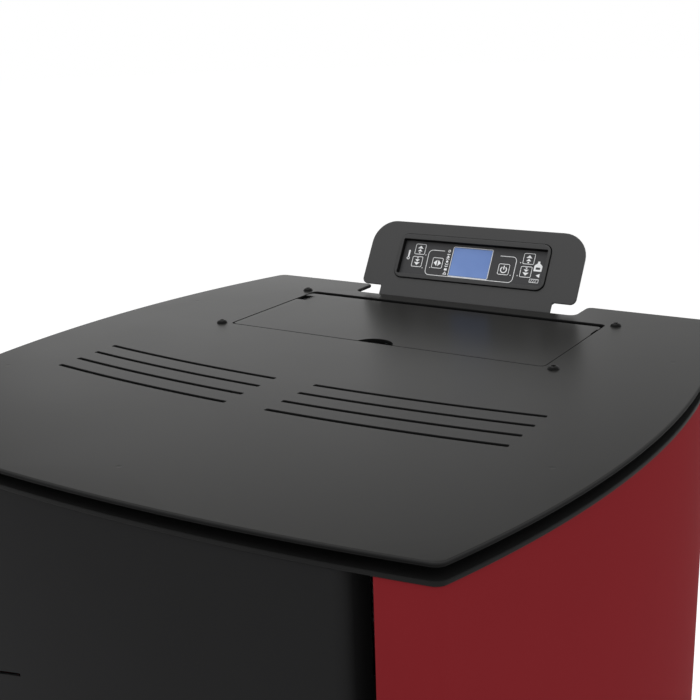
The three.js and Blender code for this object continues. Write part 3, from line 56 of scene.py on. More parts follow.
MM = 0.001
RIGHT = math.radians(90)

# ---- driving sizes of the stove
REST = 0.3                       # gap between pieces that rest on each other
RUNNING = 0.4                    # radial clearance round pins and screws
CORNER_X = 202                   # where the bowed front meets the bowed sides
FRONT_CORNER_Y = -406.1
REAR_Y = 45.9
FRONT_BOW = 16.5
SIDE_BOW = 37.5
SIDE_FORWARD = 8                 # the side bow's middle lies this far in front of the mid-length
PLAN_CORNER = 8
PLATE = 3                        # thickness of the top plate and the lid
PLATE_EDGE = 1.3                 # rounding of the top plate's outer edges
HOLE_SHARE = 0.25                # share of that rounding which its holes have
RIM_EDGE = 0.7
SHEET_EDGE = 0.3                 # rounding of painted thin sheet
NOTCH = Sizes(half=100.6, front=16.5, inner=5.5, outer=5.0)
MOUTH = Sizes(half=132.5, low=-119.9, high=-0.3, corner=4)
LID = Sizes(left=131.4, right=132.1, front=-119.2, rear=-7.9, corner=4)
FINGER = Sizes(radius=15.5, depth=11)
HINGE = Sizes(depth=6, front=-30, rear=-16.5, corner=0.7, drop=8, ear=3, tip=6, tip_corner=5, pin=2.5,
              bend=3.2, lap=1, half=131.3, right_depth=1)
SLOT = Sizes(width=3.3, inner=15.7, outer=172.4, radius=1269, first=-222.1, pitch=17.85, count=4, corner=0.7)
SCREW = Sizes(x=140, rear=0, front=-121.4, head=4.2, rise=2.9, lip=0.3, flat=0.5, socket=1.7, deep=1.7,
              shank=3, long=6, seat=0.1)
STUD = Sizes(radius=2.4, depth=0.12, shank=4, x=205.5, front_inset=35, front_step=11, rear_step=-6)
RIM_WINDOW = Sizes(half=185, low=-381.5, high=-200.1, corner=12)
RIM_MOUTH = Sizes(half=138, low=-134.4, high=6.5, corner=6)

RETURN_INSET = 1.5               # side panels, in from the top plate's edge
RETURN_FRONT_X = 172.5
REAR_LIP_X = 187
SIDE_SHEET = 1.5
FRONT = Sizes(half=158, inset=2, corner=8, sheet=2, back=-388.3, edge=0.6)
ARCH = Sizes(radius=306, end=63, outer=125, drop=130.3, width=2, corner=0.6, pitch=22, count=3, ahead=40,
             behind=15)
HANDLE = Sizes(x=145, grip=6.5, long=118, boss=8.5, reach=34.5, spindle=4, cap=7)
FRIT = Sizes(lap=1, window=112, width=11, corner=10, thickness=0.15)
REAR_SCREW = Sizes(x=178, low=45, pitch=214, count=5, head=4, rise=1.9)
FILTER = Sizes(half=66, low=46, high=146, corner=5, thickness=4, edge=1)
FLUE = Sizes(radius=40, bead=2, bead_in=7, ring=9)
INTAKE = Sizes(radius=25, bead=1.2, bead_in=5, ring=6)
SEAL = Sizes(thickness=1.2, edge=0.4, overlap=0.2)

PANEL = Sizes(lean=math.radians(30.75), y=19.6, sheet=2, edge=0.5, half=98.26, low=7.3, high=66.4,
              top_corner=21, low_corner=5, neck=78.9, neck_corner=1.5, bend=3, foot=24, foot_corner=3,
              seat=941.05)
SCREEN = Sizes(half=69.5, low=15.5, high=55.5, corner=7, gap=0.4, lip=1.2, edge=0.4)
RECESS = Sizes(half=66.5, low=19.3, high=50.7, corner=1, floor=-4.2, edge=0.2)
HOUSING = Sizes(flange=6, depth=20, back_edge=2, front_edge=0.5)
FOIL = Sizes(half=66.0, low=19.7, high=50.2, face=-2.7, thickness=0.8, corner=1, edge=0.1)
DISPLAY = Sizes(left=-18.9, right=17, low=22, high=47.5, corner=0.8, sink=0.05)
KEY = Sizes(half_x=5.2, half_y=4.95, corner=1.3, hole=0.3, edge=0.12, line=0.5, line_in=0.15)
KEYS = {"up_left": (-50.6, 43.1), "down_left": (-51.1, 31.8), "mode": (-31.5, 32.2),
        "power": (30.1, 32), "up_right": (50.3, 42.9), "down_right": (49.9, 31.6)}

# ---- white prints on the foil
PRINT = 0.05                     # thickness of a print
# Stacked arrow heads of an up key, from its middle: (rise, half width, height).
ARROWS = ((0.6, 2.7, 2.6), (-2.0, 2.2, 2.1), (-3.7, 1.1, 1.2))
POWER = Sizes(radius=2.6, drop=0.3, gap=math.radians(35), high=3.3, low=-0.2, line=0.9)
# The line from the mode key under the display to the power key: (x, y, radius, first quarter turn).
U_CORNERS = ((-38.0, 39.6, 3.7, 1), (-37.6, 24.9, 3.8, 2), (36.0, 24.9, 3.8, -1), (36.1, 39.6, 3.7, 0))
U_LINE = Sizes(start=-27.0, end=24.8, y=43.3, line=0.5)
COLUMN = Sizes(x=-22.6, half=1.5, line=0.7)
GAUGE = Sizes(x=-60.5, low=33.0, high=42.0, bulb=1.4, bore=0.8, half=0.75, head=1.2, tall=1.5)
HOUSE = Sizes(left=56.2, right=63.2, low=32.8, eaves=37.6, neck_left=58.8, neck_right=60.6, roof=39.8,
              high=41.4, corner=0.3, neck_corner=0.2)
HOUSE_WINDOW = (57.8, 61.6, 34.3, 36.2)
BADGE = (54.4, 62.4, 22.9, 26.2)
HATCHES = Sizes(places=(55.6, 57.4, 59.2), low=23.3, high=25.8, lean=1.4, line=0.35)
DOTS = ((-44.2, 38.4), (-44.9, 26.6), (-37.6, 27.6), (43.6, 39.0), (43.2, 27.8), (37.0, 27.4))
DOT_RADIUS = 0.45

# ---- view and light
CAMERA = Sizes(place=(413.71, -797.689, 1176.46), forward=(-0.51858, 0.80806, -0.27947),
               right=(0.84617, 0.53194, -0.03203), lens=58.09, sensor=36, near=0.02)
WORLD_LIGHT = 0.8
FLOOR = Sizes(radius=30, grey=0.82, glow=0.35)

# ---- places taken from the frame
TOP_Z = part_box("hopper_lid")[1].z / MM
PLATE_BOTTOM = TOP_Z - PLATE
RIM_LOW, RIM_HIGH = (corner.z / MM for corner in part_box("rim_plate"))
SHIFT_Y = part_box("rim_plate")[1].y / MM - REAR_Y
PANEL_LOW, PANEL_HIGH = (corner.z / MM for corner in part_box("side_panel_left"))

HALF_SIDE = (REAR_Y - FRONT_CORNER_Y) / 2
MIDDLE_Y = (REAR_Y + FRONT_CORNER_Y) / 2
SIDE_CENTRE_Y = MIDDLE_Y - SIDE_FORWARD
FRONT_RADIUS = (CORNER_X ** 2 + FRONT_BOW ** 2) / (2 * FRONT_BOW)
FRONT_CENTRE_Y = FRONT_CORNER_Y - FRONT_BOW + FRONT_RADIUS
SIDE_RADIUS = (HALF_SIDE ** 2 + SIDE_BOW ** 2) / (2 * SIDE_BOW)
SIDE_CENTRE_X = CORNER_X + SIDE_BOW - SIDE_RADIUS

EAR_X = HINGE.half - HINGE.depth                # outer face of the lid's ears
BEND_TURN = RIGHT + PANEL.lean                  # the bracket's sheet, from the leaning face to the foot
BEND_TANGENT = PANEL.bend * math.tan(BEND_TURN / 2)
BEND_START = BEND_TANGENT - (TOP_Z - PANEL.seat) / math.cos(PANEL.lean)
PANEL_MATRIX = Matrix.Translation((0, PANEL.y, TOP_Z)) @ Matrix.Rotation(RIGHT - PANEL.lean, 4, "X")
# Shapes drawn as x and height, with depth running back from the front.
UPRIGHT = Matrix(((1, 0, 0, 0), (0, 0, 1, 0), (0, 1, 0, 0), (0, 0, 0, 1)))


# ---- outlines
def arc(x, y, radius, start, end, steps):
    """Points along a round stretch; angles are radians."""
    return [(x + radius * math.cos(start + (end - start) * step / steps),
             y + radius * math.sin(start + (end - start) * step / steps)) for step in range(steps + 1)]


def circle(x, y, radius, steps=32):
    return arc(x, y, radius, 0, 2 * math.pi, steps)[:-1]


def fillet(corners, steps=5):
    """An outline through (x, y, radius) corners, each rounded to its radius."""
    outline = []
    for index, (x, y, radius) in enumerate(corners):
        here = Vector((x, y))
        before = Vector(corners[index - 1][:2]) - here
        after = Vector(corners[(index + 1) % len(corners)][:2]) - here
        if radius <= 0:
            outline.append((x, y))
            continue
        half = before.angle(after) / 2
        between = (before.normalized() + after.normalized()).normalized()
        centre = here + between * (radius / math.sin(half))
        tangent = radius / math.tan(half)
        first = here + before.normalized() * tangent - centre
        last = here + after.normalized() * tangent - centre
        start = math.atan2(first.y, first.x)
        turn = (math.atan2(last.y, last.x) - start + math.pi) % (2 * math.pi) - math.pi
        outline += arc(centre.x, centre.y, radius, start, start + turn, steps)
    return outline


def rounded(x0, x1, y0, y1, radius, steps=5):
    return fillet([(x0, y0, radius), (x1, y0, radius), (x1, y1, radius), (x0, y1, radius)], steps)


def box_of(size, grow=0, steps=5):
    """A rounded rectangle about the middle of the stove, made larger all round by grow."""
    half = size.half + grow
    return rounded(-half, half, size.low - grow, size.high + grow, size.corner + grow, steps)


def grown(size, by):
    """The sizes of such a rectangle made larger all round, with its corners' radius kept."""
    return Sizes(half=size.half + by, low=size.low - by, high=size.high + by, corner=size.corner)


def mirrored(points):
    return [(-x, y) for x, y in reversed(points)]


def plan_side(inset, front_x, rear_x, bow_steps=40, corner_steps=8):
    """The right side of the plan, from front_x on the bowed front round to rear_x on the rear edge."""
    corner = max(PLAN_CORNER - inset, 2)
    front_radius = FRONT_RADIUS - inset
    side_radius = SIDE_RADIUS - inset
    rear_y = REAR_Y - inset
    rear_corner_y = rear_y - corner
    rear_from_centre = rear_corner_y - SIDE_CENTRE_Y
    rear_corner_x = SIDE_CENTRE_X + math.sqrt((side_radius - corner) ** 2 - rear_from_centre ** 2)
    rear_angle = math.atan2(rear_from_centre, rear_corner_x - SIDE_CENTRE_X)

    # The front corner's centre lies at a known distance from both arc centres.
    offset = Vector((SIDE_CENTRE_X, SIDE_CENTRE_Y - FRONT_CENTRE_Y))
    from_front = front_radius - corner
    from_side = side_radius - corner
    along = (offset.length_squared + from_front ** 2 - from_side ** 2) / (2 * offset.length)
    across = math.sqrt(from_front ** 2 - along ** 2)
    towards = math.atan2(offset.y, offset.x)
    corner_x = along * math.cos(towards) - across * math.sin(towards)
    corner_y = FRONT_CENTRE_Y + along * math.sin(towards) + across * math.cos(towards)
    front_angle = math.atan2(corner_y - FRONT_CENTRE_Y, corner_x)
    side_angle = math.atan2(corner_y - SIDE_CENTRE_Y, corner_x - SIDE_CENTRE_X)
    start_angle = -math.acos(front_x / front_radius)

    points = arc(0, FRONT_CENTRE_Y, front_radius, start_angle, front_angle, bow_steps)
    points += arc(corner_x, corner_y, corner, front_angle, side_angle, corner_steps)[1:]
    points += arc(SIDE_CENTRE_X, SIDE_CENTRE_Y, side_radius, side_angle, rear_angle, bow_steps)[1:]
    points += arc(rear_corner_x, rear_corner_y, corner, rear_angle, RIGHT, corner_steps)[1:]
    if rear_x < rear_corner_x:
        points.append((rear_x, rear_y))
    return points


def plan_outline(inset, rear_path=()):
    """The whole plan; rear_path is the right half of what is cut into the rear edge."""
    right = plan_side(inset, 0, 1000) + list(rear_path)
    return right + mirrored(right)[:-1]


def bowed_outline(half, inset, corner):
    """A block in plan whose front follows the bowed front, with rounded front edges."""
    radius = FRONT_RADIUS - inset
    corner_x = half - corner
    corner_y = FRONT_CENTRE_Y - math.sqrt((radius - corner) ** 2 - corner_x ** 2)
    angle = math.atan2(corner_y - FRONT_CENTRE_Y, corner_x)
    right = arc(0, FRONT_CENTRE_Y, radius, -RIGHT, angle, 24)
    right += arc(corner_x, corner_y, corner, angle, 0, 6)[1:]
    right.append((half, FRONT.back))
    return right + mirrored(right)[:-1]


# ---- solids as (points, faces)
def area_of(loop):
    return sum(a[0] * b[1] - b[0] * a[1] for a, b in zip(loop, loop[1:] + loop[:1])) / 2


def turned(loop, left):
    return list(loop) if (area_of(loop) > 0) == left else list(reversed(loop))


def moved_in(loop, distance):
    """The loop moved to its left, where the material is."""
    moved = []
    for index, point in enumerate(loop):
        here = Vector(point)
        first = (here - Vector(loop[index - 1])).normalized()
        second = (Vector(loop[(index + 1) % len(loop)]) - here).normalized()
        normal = Vector((-first.y - second.y, first.x + second.x)).normalized()
        square = Vector((-first.y, first.x))
        moved.append(tuple(here + normal * (distance / max(normal.dot(square), 0.4))))
    return moved


def inside(point, loops):
    """Whether a point lies in the material, by counting crossings."""
    x, y = point
    odd = False
    for loop in loops:
        for (x0, y0), (x1, y1) in zip(loop, loop[1:] + loop[:1]):
            if (y0 > y) != (y1 > y) and x < x0 + (y - y0) * (x1 - x0) / (y1 - y0):
                odd = not odd
    return odd


def cap(loops):
    """Triangles of a flat face with holes, as indices into the loops' points."""
    points = [point for loop in loops for point in loop]
    edges = []
    start = 0
    for loop in loops:
        count = len(loop)
        edges += [(start + index, start + (index + 1) % count) for index in range(count)]
        start += count
    made = delaunay_2d_cdt([Vector(point) for point in points], edges, [], 0, 1e-6)
    vertices, faces, sources = made[0], made[2], made[3]
    triangles = []
    for face in faces:
        middle = sum((vertices[index] for index in face), Vector((0, 0))) / 3
        if inside(middle, loops):
            triangles.append([sources[index][0] for index in face])
    return triangles


def rounding(low, high, edge, steps=3):
    """(inset, height) of each ring of a plate whose edges are rounded."""
    if edge <= 0:
        return [(0, low), (0, high)]
    turns = [RIGHT * step / steps for step in range(steps + 1)]
    quarter = [(edge * (1 - math.sin(turn)), edge * (1 - math.cos(turn))) for turn in turns]
    bottom = [(inset, low + rise) for inset, rise in quarter]
    return bottom + [(inset, high - rise) for inset, rise in reversed(quarter)]


def wall(first, second, count):
    """Faces between two rings of so many points, which start at two indices."""
    return [(first + index, first + (index + 1) % count, second + (index + 1) % count, second + index)
            for index in range(count)]


def slab(outer, low, high, edge=0.0, holes=(), dimples=(), hole_share=1):
    """A plate with holes and rounded edges. A dimple is (x, y, radius, depth) in its upper face.

    The holes' edges have only a share of the rounding's width.
    """
    loops = [turned(outer, True)] + [turned(hole, False) for hole in holes]
    shares = [1] + [hole_share] * len(holes)
    levels = rounding(low, high, edge)
    points, faces = [], []
    starts = []
    for inset, height in levels:
        starts.append([])
        for loop, share in zip(loops, shares):
            starts[-1].append(len(points))
            points += [(x, y, height) for x, y in moved_in(loop, inset * share)]
    for below, above in zip(starts, starts[1:]):
        for loop, first, second in zip(loops, below, above):
            faces += wall(first, second, len(loop))
    lower = [moved_in(loop, levels[0][0] * share) for loop, share in zip(loops, shares)]
    upper = [moved_in(loop, levels[-1][0] * share) for loop, share in zip(loops, shares)]
    faces += [tuple(reversed([starts[0][0] + index for index in face])) for face in cap(lower)]
    index_of = list(range(starts[-1][0], len(points)))
    for x, y, radius, depth in dimples:
        rim = turned(circle(x, y, radius, 16), False)
        upper.append(rim)
        first = len(points)
        index_of += range(first, first + len(rim))
        points += [(px, py, high) for px, py in rim]
        for share, drop in ((0.6, 0.7), (0.25, 1.0)):
            second = len(points)
            points += [(x + (px - x) * share, y + (py - y) * share, high - depth * drop) for px, py in rim]
            faces += wall(first, second, len(rim))
            first = second
        faces.append(tuple(reversed(range(first, first + len(rim)))))
    faces += [tuple(index_of[index] for index in face) for face in cap(upper)]
    return points, faces


def loft(loops, closed_ends=True):
    """A body through loops of (x, y, z) with equally many points."""
    count = len(loops[0])
    points = [point for loop in loops for point in loop]
    faces = []
    for row in range(len(loops) - 1):
        faces += wall(row * count, (row + 1) * count, count)
    if closed_ends:
        faces.append(tuple(reversed(range(count))))
        faces.append(tuple(range(len(points) - count, len(points))))
    return points, faces


def ring(radius, z, sides=32):
    return [(x, y, z) for x, y in circle(0, 0, radius, sides)]


def lathe(profile, sides=32):
    """A body turned about the local z axis from (radius, z) points."""
    return loft([ring(radius, z, sides) for radius, z in profile])


def hoop(profile, sides=64):
    """A ring turned about the local z axis from a closed profile of (radius, z) points."""
    points, faces = loft([ring(radius, z, sides) for radius, z in profile], False)
    return points, faces + wall((len(profile) - 1) * sides, 0, sides)


def placed(part, matrix):
    points, faces = part
    return [tuple(matrix @ Vector(point)) for point in points], faces


def joined(parts):
    points, faces = [], []
    for part_points, part_faces in parts:
        start = len(points)
        points += part_points
        faces += [tuple(start + index for index in face) for face in part_faces]
    return points, faces


def along(origin, direction):
    """A matrix whose z axis points along a direction from an origin."""
    turn = Vector((0, 0, 1)).rotation_difference(Vector(direction))
    return Matrix.Translation(origin) @ turn.to_matrix().to_4x4()


# ---- making objects
def to_mesh(name, part):
    """A mesh in metres, in the frame's place, with its faces turned outwards."""
    points, faces = part
    mesh = bpy.data.meshes.new(name)
    mesh.from_pydata([Vector((x, y + SHIFT_Y, z)) * MM for x, y, z in points], [], faces)
    tidy = bmesh.new()
    tidy.from_mesh(mesh)
    bmesh.ops.recalc_face_normals(tidy, faces=tidy.faces)
    tidy.to_mesh(mesh)
    tidy.free()
    return mesh


def add_object(name, data):
    piece = bpy.data.objects.new(name, data)
    bpy.context.scene.collection.objects.link(piece)
    return piece


def make(name, part, material, body, sharp=40):
    """A piece that rides on a body; edges sharper than so many degrees stay sharp."""
    mesh = to_mesh(name, part)
    mesh.shade_smooth()
    mesh.set_sharp_from_angle(angle=math.radians(sharp))
    mesh.materials.append(material)
    piece = add_object(name, mesh)
    weight_normals(piece)
    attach(piece, body)
    return piece


def stand_in(node, part, material, body, sharp=40):
    """A finer piece that stands for a CAD node."""
    piece = make(f"{node}_visual", part, material, body, sharp)
    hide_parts(node)
    return piece


def weight_normals(piece):
    modifier = piece.modifiers.new("even_normals", "WEIGHTED_NORMAL")
    modifier.mode = "FACE_AREA"
    modifier.keep_sharp = True


def paint_shade_on_edges(piece, count):
    """Gives those of the first faces that turn away from the flat top the edge paint with painted light and
    shade.
    """
    piece.data.materials.append(TOP_EDGE_SHADE)
    flattest = 0.9
    for face in piece.data.polygons[:count]:
        if abs(face.normal.z) < flattest:
            face.material_index = 1


def cut(piece, cutters):
    """Takes closed bodies away from a piece and keeps the result as its mesh."""
    for part in cutters:
        cutter = add_object("cutter", to_mesh("cutter", part))
        piece.modifiers.clear()
        modifier = piece.modifiers.new("cut", "BOOLEAN")
        modifier.operation = "DIFFERENCE"
        modifier.solver = "EXACT"
        modifier.object = cutter
        bpy.context.view_layer.update()
        depsgraph = bpy.context.evaluated_depsgraph_get()
        result = bpy.data.meshes.new_from_object(piece.evaluated_get(depsgraph))
        result.name = piece.name
        piece.data = result
        bpy.data.objects.remove(cutter)
    piece.modifiers.clear()
    piece.data.shade_smooth()
    piece.data.set_sharp_from_angle(angle=math.radians(35))
    weight_normals(piece)


def add_node(tree, kind, *first_values, **values):
    """A new node; its first inputs and its named inputs hold a value or are linked to a socket."""
    node = tree.nodes.new(kind)
    named = [(node.inputs[key.replace("_", " ")], value) for key, value in values.items()]
    for socket, value in [*zip(node.inputs, first_values), *named]:
        if isinstance(value, bpy.types.NodeSocket):
            tree.links.new(value, socket)
        else:
            socket.default_value = value
    return node


def smoothing_group(limit):
    """Geometry nodes that shade every face smooth and keep edges sharper than the limit."""
    group = bpy.data.node_groups.new("smooth_faces", "GeometryNodeTree")
    for way in ("INPUT", "OUTPUT"):
        group.interface.new_socket("Geometry", in_out=way, socket_type="NodeSocketGeometry")
    angle = add_node(group, "GeometryNodeInputMeshEdgeAngle").outputs["Unsigned Angle"]
    soft = add_node(group, "FunctionNodeCompare", A=angle, B=limit)
    soft.operation = "LESS_THAN"
    given = add_node(group, "NodeGroupInput").outputs["Geometry"]
    faces = add_node(group, "GeometryNodeSetShadeSmooth", Geometry=given).outputs["Geometry"]
    edges = add_node(group, "GeometryNodeSetShadeSmooth", Geometry=faces, Shade_Smooth=soft.outputs["Result"])
    edges.domain = "EDGE"
    add_node(group, "NodeGroupOutput", Geometry=edges.outputs["Geometry"])
    return group


def dress(node, material, bevel):
    """A CAD node that keeps its shape gets a material and softened edges."""
    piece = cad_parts[node]
    piece.material_slots[0].material = material
    piece.modifiers.new("weld", "WELD").merge_threshold = 1e-6
    piece.modifiers.new("smooth_faces", "NODES").node_group = SMOOTHING
    modifier = piece.modifiers.new("soft_edges", "BEVEL")
    modifier.width = bevel * MM
    modifier.segments = 2
    modifier.limit_method = "ANGLE"
    modifier.angle_limit = SHARP
    modifier.harden_normals = True
    return piece


SHARP = math.radians(40)
SMOOTHING = smoothing_group(SHARP)


# ---- materials
# The stretch of a pattern's values over which a colour or the gloss changes.
MIDDLE = (0.3, 0.7)
WIDE = (0.1, 0.9)
CLOUD = (7, 4)
PEEL = ((1500, 2), 0.012, 0.6)


class Look:
    """A Principled material with a few helpers for its nodes."""

    def __init__(self, name, **values):
        self.material = bpy.data.materials.new(name)
        self.material.use_nodes = True
        self.links = self.material.node_tree.links
        self.shader = self.material.node_tree.nodes["Principled BSDF"]
        self.place = self.node("ShaderNodeTexCoord").outputs["Object"]
        for key, value in values.items():
            self.shader.inputs[key.replace("_", " ")].default_value = value

    def node(self, kind, **values):
        return add_node(self.material.node_tree, kind, **values)

    def pattern(self, scale, how=3, roughness=0.5, stretch=None):
        """A noise of so much detail or, where how is a word, that output of cells."""
        place = self.place
        if stretch:
            place = self.node("ShaderNodeMapping", Scale=stretch, Vector=place).outputs["Vector"]
        if isinstance(how, str):
            return self.node("ShaderNodeTexVoronoi", Scale=scale, Vector=place).outputs[how]
        node = self.node("ShaderNodeTexNoise", Scale=scale, Detail=how, Roughness=roughness, Vector=place)
        return node.outputs["Fac"]

    def slope(self):
        """1 where the object's surface faces up, 0 where it is upright."""
        normal = self.node("ShaderNodeTexCoord").outputs["Normal"]
        return self.node("ShaderNodeSeparateXYZ", Vector=normal).outputs["Z"]

    def ramp(self, source, low, high, start=0.3, end=0.7):
        """A value or colour that runs from low to high as the source runs from start to end."""
        if not isinstance(low, tuple):
            node = self.node("ShaderNodeMapRange", Value=source, From_Min=start, From_Max=end, To_Min=low,
                             To_Max=high)
            return node.outputs["Result"]
        node = self.node("ShaderNodeValToRGB", Fac=source)
        for element, position, colour in zip(node.color_ramp.elements, (start, end), (low, high)):
            element.position = position
            element.color = (*colour, 1)
        return node.outputs["Color"]

    def sooted(self, share, clean, soot):
        """A colour that turns to soot as the share rises."""
        node = self.node("ShaderNodeMix")
        node.data_type = "RGBA"
        self.links.new(share, node.inputs[0])
        self.links.new(clean, node.inputs[6])
        node.inputs[7].default_value = (*soot, 1)
        return node.outputs[2]

    def coat(self, colour, gloss, relief=None):
        """Links the colour, the roughness and a relief of (height, distance, strength)."""
        self.links.new(colour, self.shader.inputs["Base Color"])
        self.links.new(gloss, self.shader.inputs["Roughness"])
        if relief:
            height, distance, strength = relief
            bump = self.node("ShaderNodeBump", Strength=strength, Distance=distance * MM, Height=height)
            self.links.new(bump.outputs["Normal"], self.shader.inputs["Normal"])
        return self.material


def grey(value):
    return (value, value, value)


def around(colour, darker, lighter):
    """A colour made darker and made lighter by a share of itself."""
    return [tuple(min(channel * (1 + share), 1) for channel in colour) for share in (-darker, lighter)]


def near(value, below, above):
    return (value - below, value + above)


def patterned(name, pattern, colours, gloss, relief=None, span=MIDDLE, gloss_span=MIDDLE, **values):
    """A material whose colour and gloss follow one pattern.

    The relief is (pattern, distance, strength); without a pattern of its own it follows the colour.
    """
    look = Look(name, **values)
    source = look.pattern(*pattern)
    shade = look.ramp(source, *colours, *span)
    if relief:
        own, distance, strength = relief
        relief = (look.pattern(*own) if own else source, distance, strength)
    return look.coat(shade, look.ramp(source, *gloss, *gloss_span), relief)


def paint(name, colour, roughness, specular, mottle=0.06):
    """Powder coat: a fine orange-peel grain and very slight uneven gloss."""
    return patterned(name, CLOUD, around(colour, mottle, mottle), near(roughness, 0.02, 0.02), PEEL,
                     Specular_IOR_Level=specular)


def shaded_edge_paint(name, flat, steep, roughness, specular):
    """The same coat on a rounded edge, with painted light and shade: lighter where the edge still faces up,
    near black where it turns down.
    """
    look = Look(name, Specular_IOR_Level=specular)
    shade = look.ramp(look.slope(), steep, flat, 0.05, 0.95)
    gloss = look.ramp(look.pattern(*CLOUD), *near(roughness, 0.02, 0.02))
    peel, distance, strength = PEEL
    return look.coat(shade, gloss, (look.pattern(*peel), distance, strength))


def plastic(name, colour, roughness=0.42, specular=0.4, grain=0.02):
    look = Look(name, Specular_IOR_Level=specular)
    fine = look.pattern(2600, 2)
    shade = look.ramp(fine, *around(colour, 0.06, 0.06))
    gloss = look.ramp(look.pattern(30, 2), *near(roughness, 0.03, 0.03))
    return look.coat(shade, gloss, (fine, grain, 0.5))


def glass(name):
    look = Look(name, Transmission_Weight=1, IOR=1.5, Base_Color=(0.9, 0.86, 0.8, 1))
    smears = look.ramp(look.pattern(20, 3), 0.0, 0.03)
    look.links.new(smears, look.shader.inputs["Roughness"])
    return look.material


def vermiculite(name):
    """Pressed flakes, sooted in clouds."""
    look = Look(name, Specular_IOR_Level=0.2)
    flakes = look.pattern(330, "Color")
    clean = look.ramp(flakes, (0.3, 0.25, 0.17), (0.56, 0.49, 0.37), *WIDE)
    share = look.ramp(look.pattern(12, 4), 0.0, 0.75, 0.45, 0.75)
    shade = look.sooted(share, clean, (0.05, 0.045, 0.04))
    return look.coat(shade, look.ramp(flakes, 0.85, 0.95, *WIDE), (flakes, 0.2, 0.5))


def backlit(name, deep, pale):
    """A lit display: blue with a slow change across it."""
    look = Look(name, Emission_Strength=0.55, Specular_IOR_Level=0.15)
    cloud = look.pattern(28, 2)
    glow = look.ramp(cloud, deep, pale, 0.25, 0.8)
    look.links.new(glow, look.shader.inputs["Emission Color"])
    return look.coat(glow, look.ramp(cloud, 0.3, 0.4))


TOP_PAINT = paint("top_black", (0.0158, 0.0156, 0.0149), 0.31, 0.041)
# Painted light and shade on the rounded edges of the top plate and the lid: the colour runs with the slope,
# not with the paint.
TOP_EDGE_SHADE = shaded_edge_paint("top_edge_painted_shade", grey(0.034), grey(0.007), 0.6, 0.04)
RIM_PAINT = paint("rim_black", grey(0.0135), 0.55, 0.05)
FRONT_PAINT = paint("front_black", (0.0178, 0.0178, 0.0182), 0.6, 0.03)
BRACKET_PAINT = paint("bracket_black", (0.044, 0.044, 0.0443), 0.5, 0.3)
RED_PAINT = paint("side_red", (0.222, 0.0195, 0.0238), 0.7, 0.006, 0.03)
DARK_SHEET = paint("inner_black", grey(0.012), 0.6, 0.2)
SCREW_BLACK = plastic("screw_black", grey(0.005), 0.38, 0.08)
DOOR_IRON = patterned("door_iron", (14, 5, 0.6), around((0.018, 0.0175, 0.017), 0.18, 0.15),
                      near(0.6, 0.05, 0.06), ((700, 4, 0.6), 0.06, 0.5), Specular_IOR_Level=0.1)
SOOTY = patterned("sooty_iron", (9, 6, 0.65), ((0.012, 0.011, 0.01), (0.045, 0.041, 0.037)), (0.75, 0.9),
                  ((500, 4, 0.6), 0.08, 0.5), (0.35, 0.75), Specular_IOR_Level=0.25)
STEEL = patterned("plain_steel", (220, 3, 0.6, (1, 1, 30)), around((0.42, 0.42, 0.43), 0.1, 0.1),
                  near(0.32, 0.06, 0.08), (None, 0.01, 0.3), Metallic=1)
ZINC = patterned("zinc_sheet", (90, "Color"), ((0.42, 0.43, 0.44), (0.56, 0.57, 0.58)), (0.34, 0.48),
                 ((300, 2), 0.01, 0.3), WIDE, WIDE, Metallic=0.9)
BEZEL = plastic("bezel_black", (0.037, 0.037, 0.0375), 0.45, 0.3)
# Near black: painted shade on the display housing's recess walls, the lip's sides and the box behind, and the
# real black frit printed on the door glass.
FRIT_AND_SHADE_BLACK = plastic("frit_and_painted_shade_black", grey(0.008), 0.5, 0.2)
FOIL_BLACK = plastic("foil_black", (0.037, 0.037, 0.039), 0.4, 0.3, 0.008)
PLASTIC = plastic("black_plastic", (0.02, 0.02, 0.021))
GRIP = plastic("grip_black", grey(0.015), 0.5, 0.4)
RUBBER = patterned("foot_rubber", (60, 3), (grey(0.014), grey(0.026)), (0.75, 0.88), ((900, 2), 0.03, 0.5),
                   Specular_IOR_Level=0.25)
FOAM = patterned("filter_foam", (650, "Distance"), (grey(0.004), grey(0.022)), (0.85, 0.95),
                 (None, 0.8, 0.8), (0.1, 0.6), Specular_IOR_Level=0.1)
ROPE = patterned("glass_fibre_rope", (420, "Distance"), ((0.16, 0.15, 0.13), (0.36, 0.34, 0.3)),
                 (0.85, 0.95), (None, 0.6, 0.8), (0.1, 0.6))
GLASS = glass("ceramic_glass")
BRICK = vermiculite("vermiculite")
BOARD = patterned("circuit_board", (160, "Color", 0, (1, 1, 0.35)), ((0.01, 0.07, 0.03), (0.03, 0.16, 0.08)),
                  (0.3, 0.5), (None, 0.05, 0.5), (0.2, 0.8), (0.2, 0.8))
WHITE_INK = patterned("white_ink", (900, 2), around((0.86, 0.87, 0.88), 0.04, 0.04), (0.5, 0.6))
LCD = backlit("blue_display", (0.094, 0.152, 0.33), (0.13, 0.2, 0.4))


# ---- top
def bowed_slot(centre, size, start, end, steps, corner_steps):
    """A narrow slot along an arc about (0, centre), with its corners rounded."""
    half = size.width / 2
    outside = arc(0, centre, size.radius + half, start, end, steps)
    within = arc(0, centre, size.radius - half, end, start, steps)
    ends = (0, steps, steps + 1, 2 * steps + 1)
    corners = [(x, y, size.corner if index in ends else 0) for index, (x, y) in enumerate(outside + within)]
    return fillet(corners, corner_steps)


def slot_outlines():
    """Two mirrored groups of bowed slots over the warm air outlet."""
    near, far = (math.asin(reach / SLOT.radius) - RIGHT for reach in (SLOT.inner, SLOT.outer))
    outlines = []
    for row in range(SLOT.count):
        outline = bowed_slot(SLOT.first - row * SLOT.pitch + SLOT.radius, SLOT, near, far, 20, 3)
        outlines += [outline, mirrored(outline)]
    return outlines


def screw_places():
    return {f"{end}_{side}": (sign * SCREW.x, y) for side, sign in (("left", -1), ("right", 1))
            for end, y in (("front", SCREW.front), ("rear", SCREW.rear))}


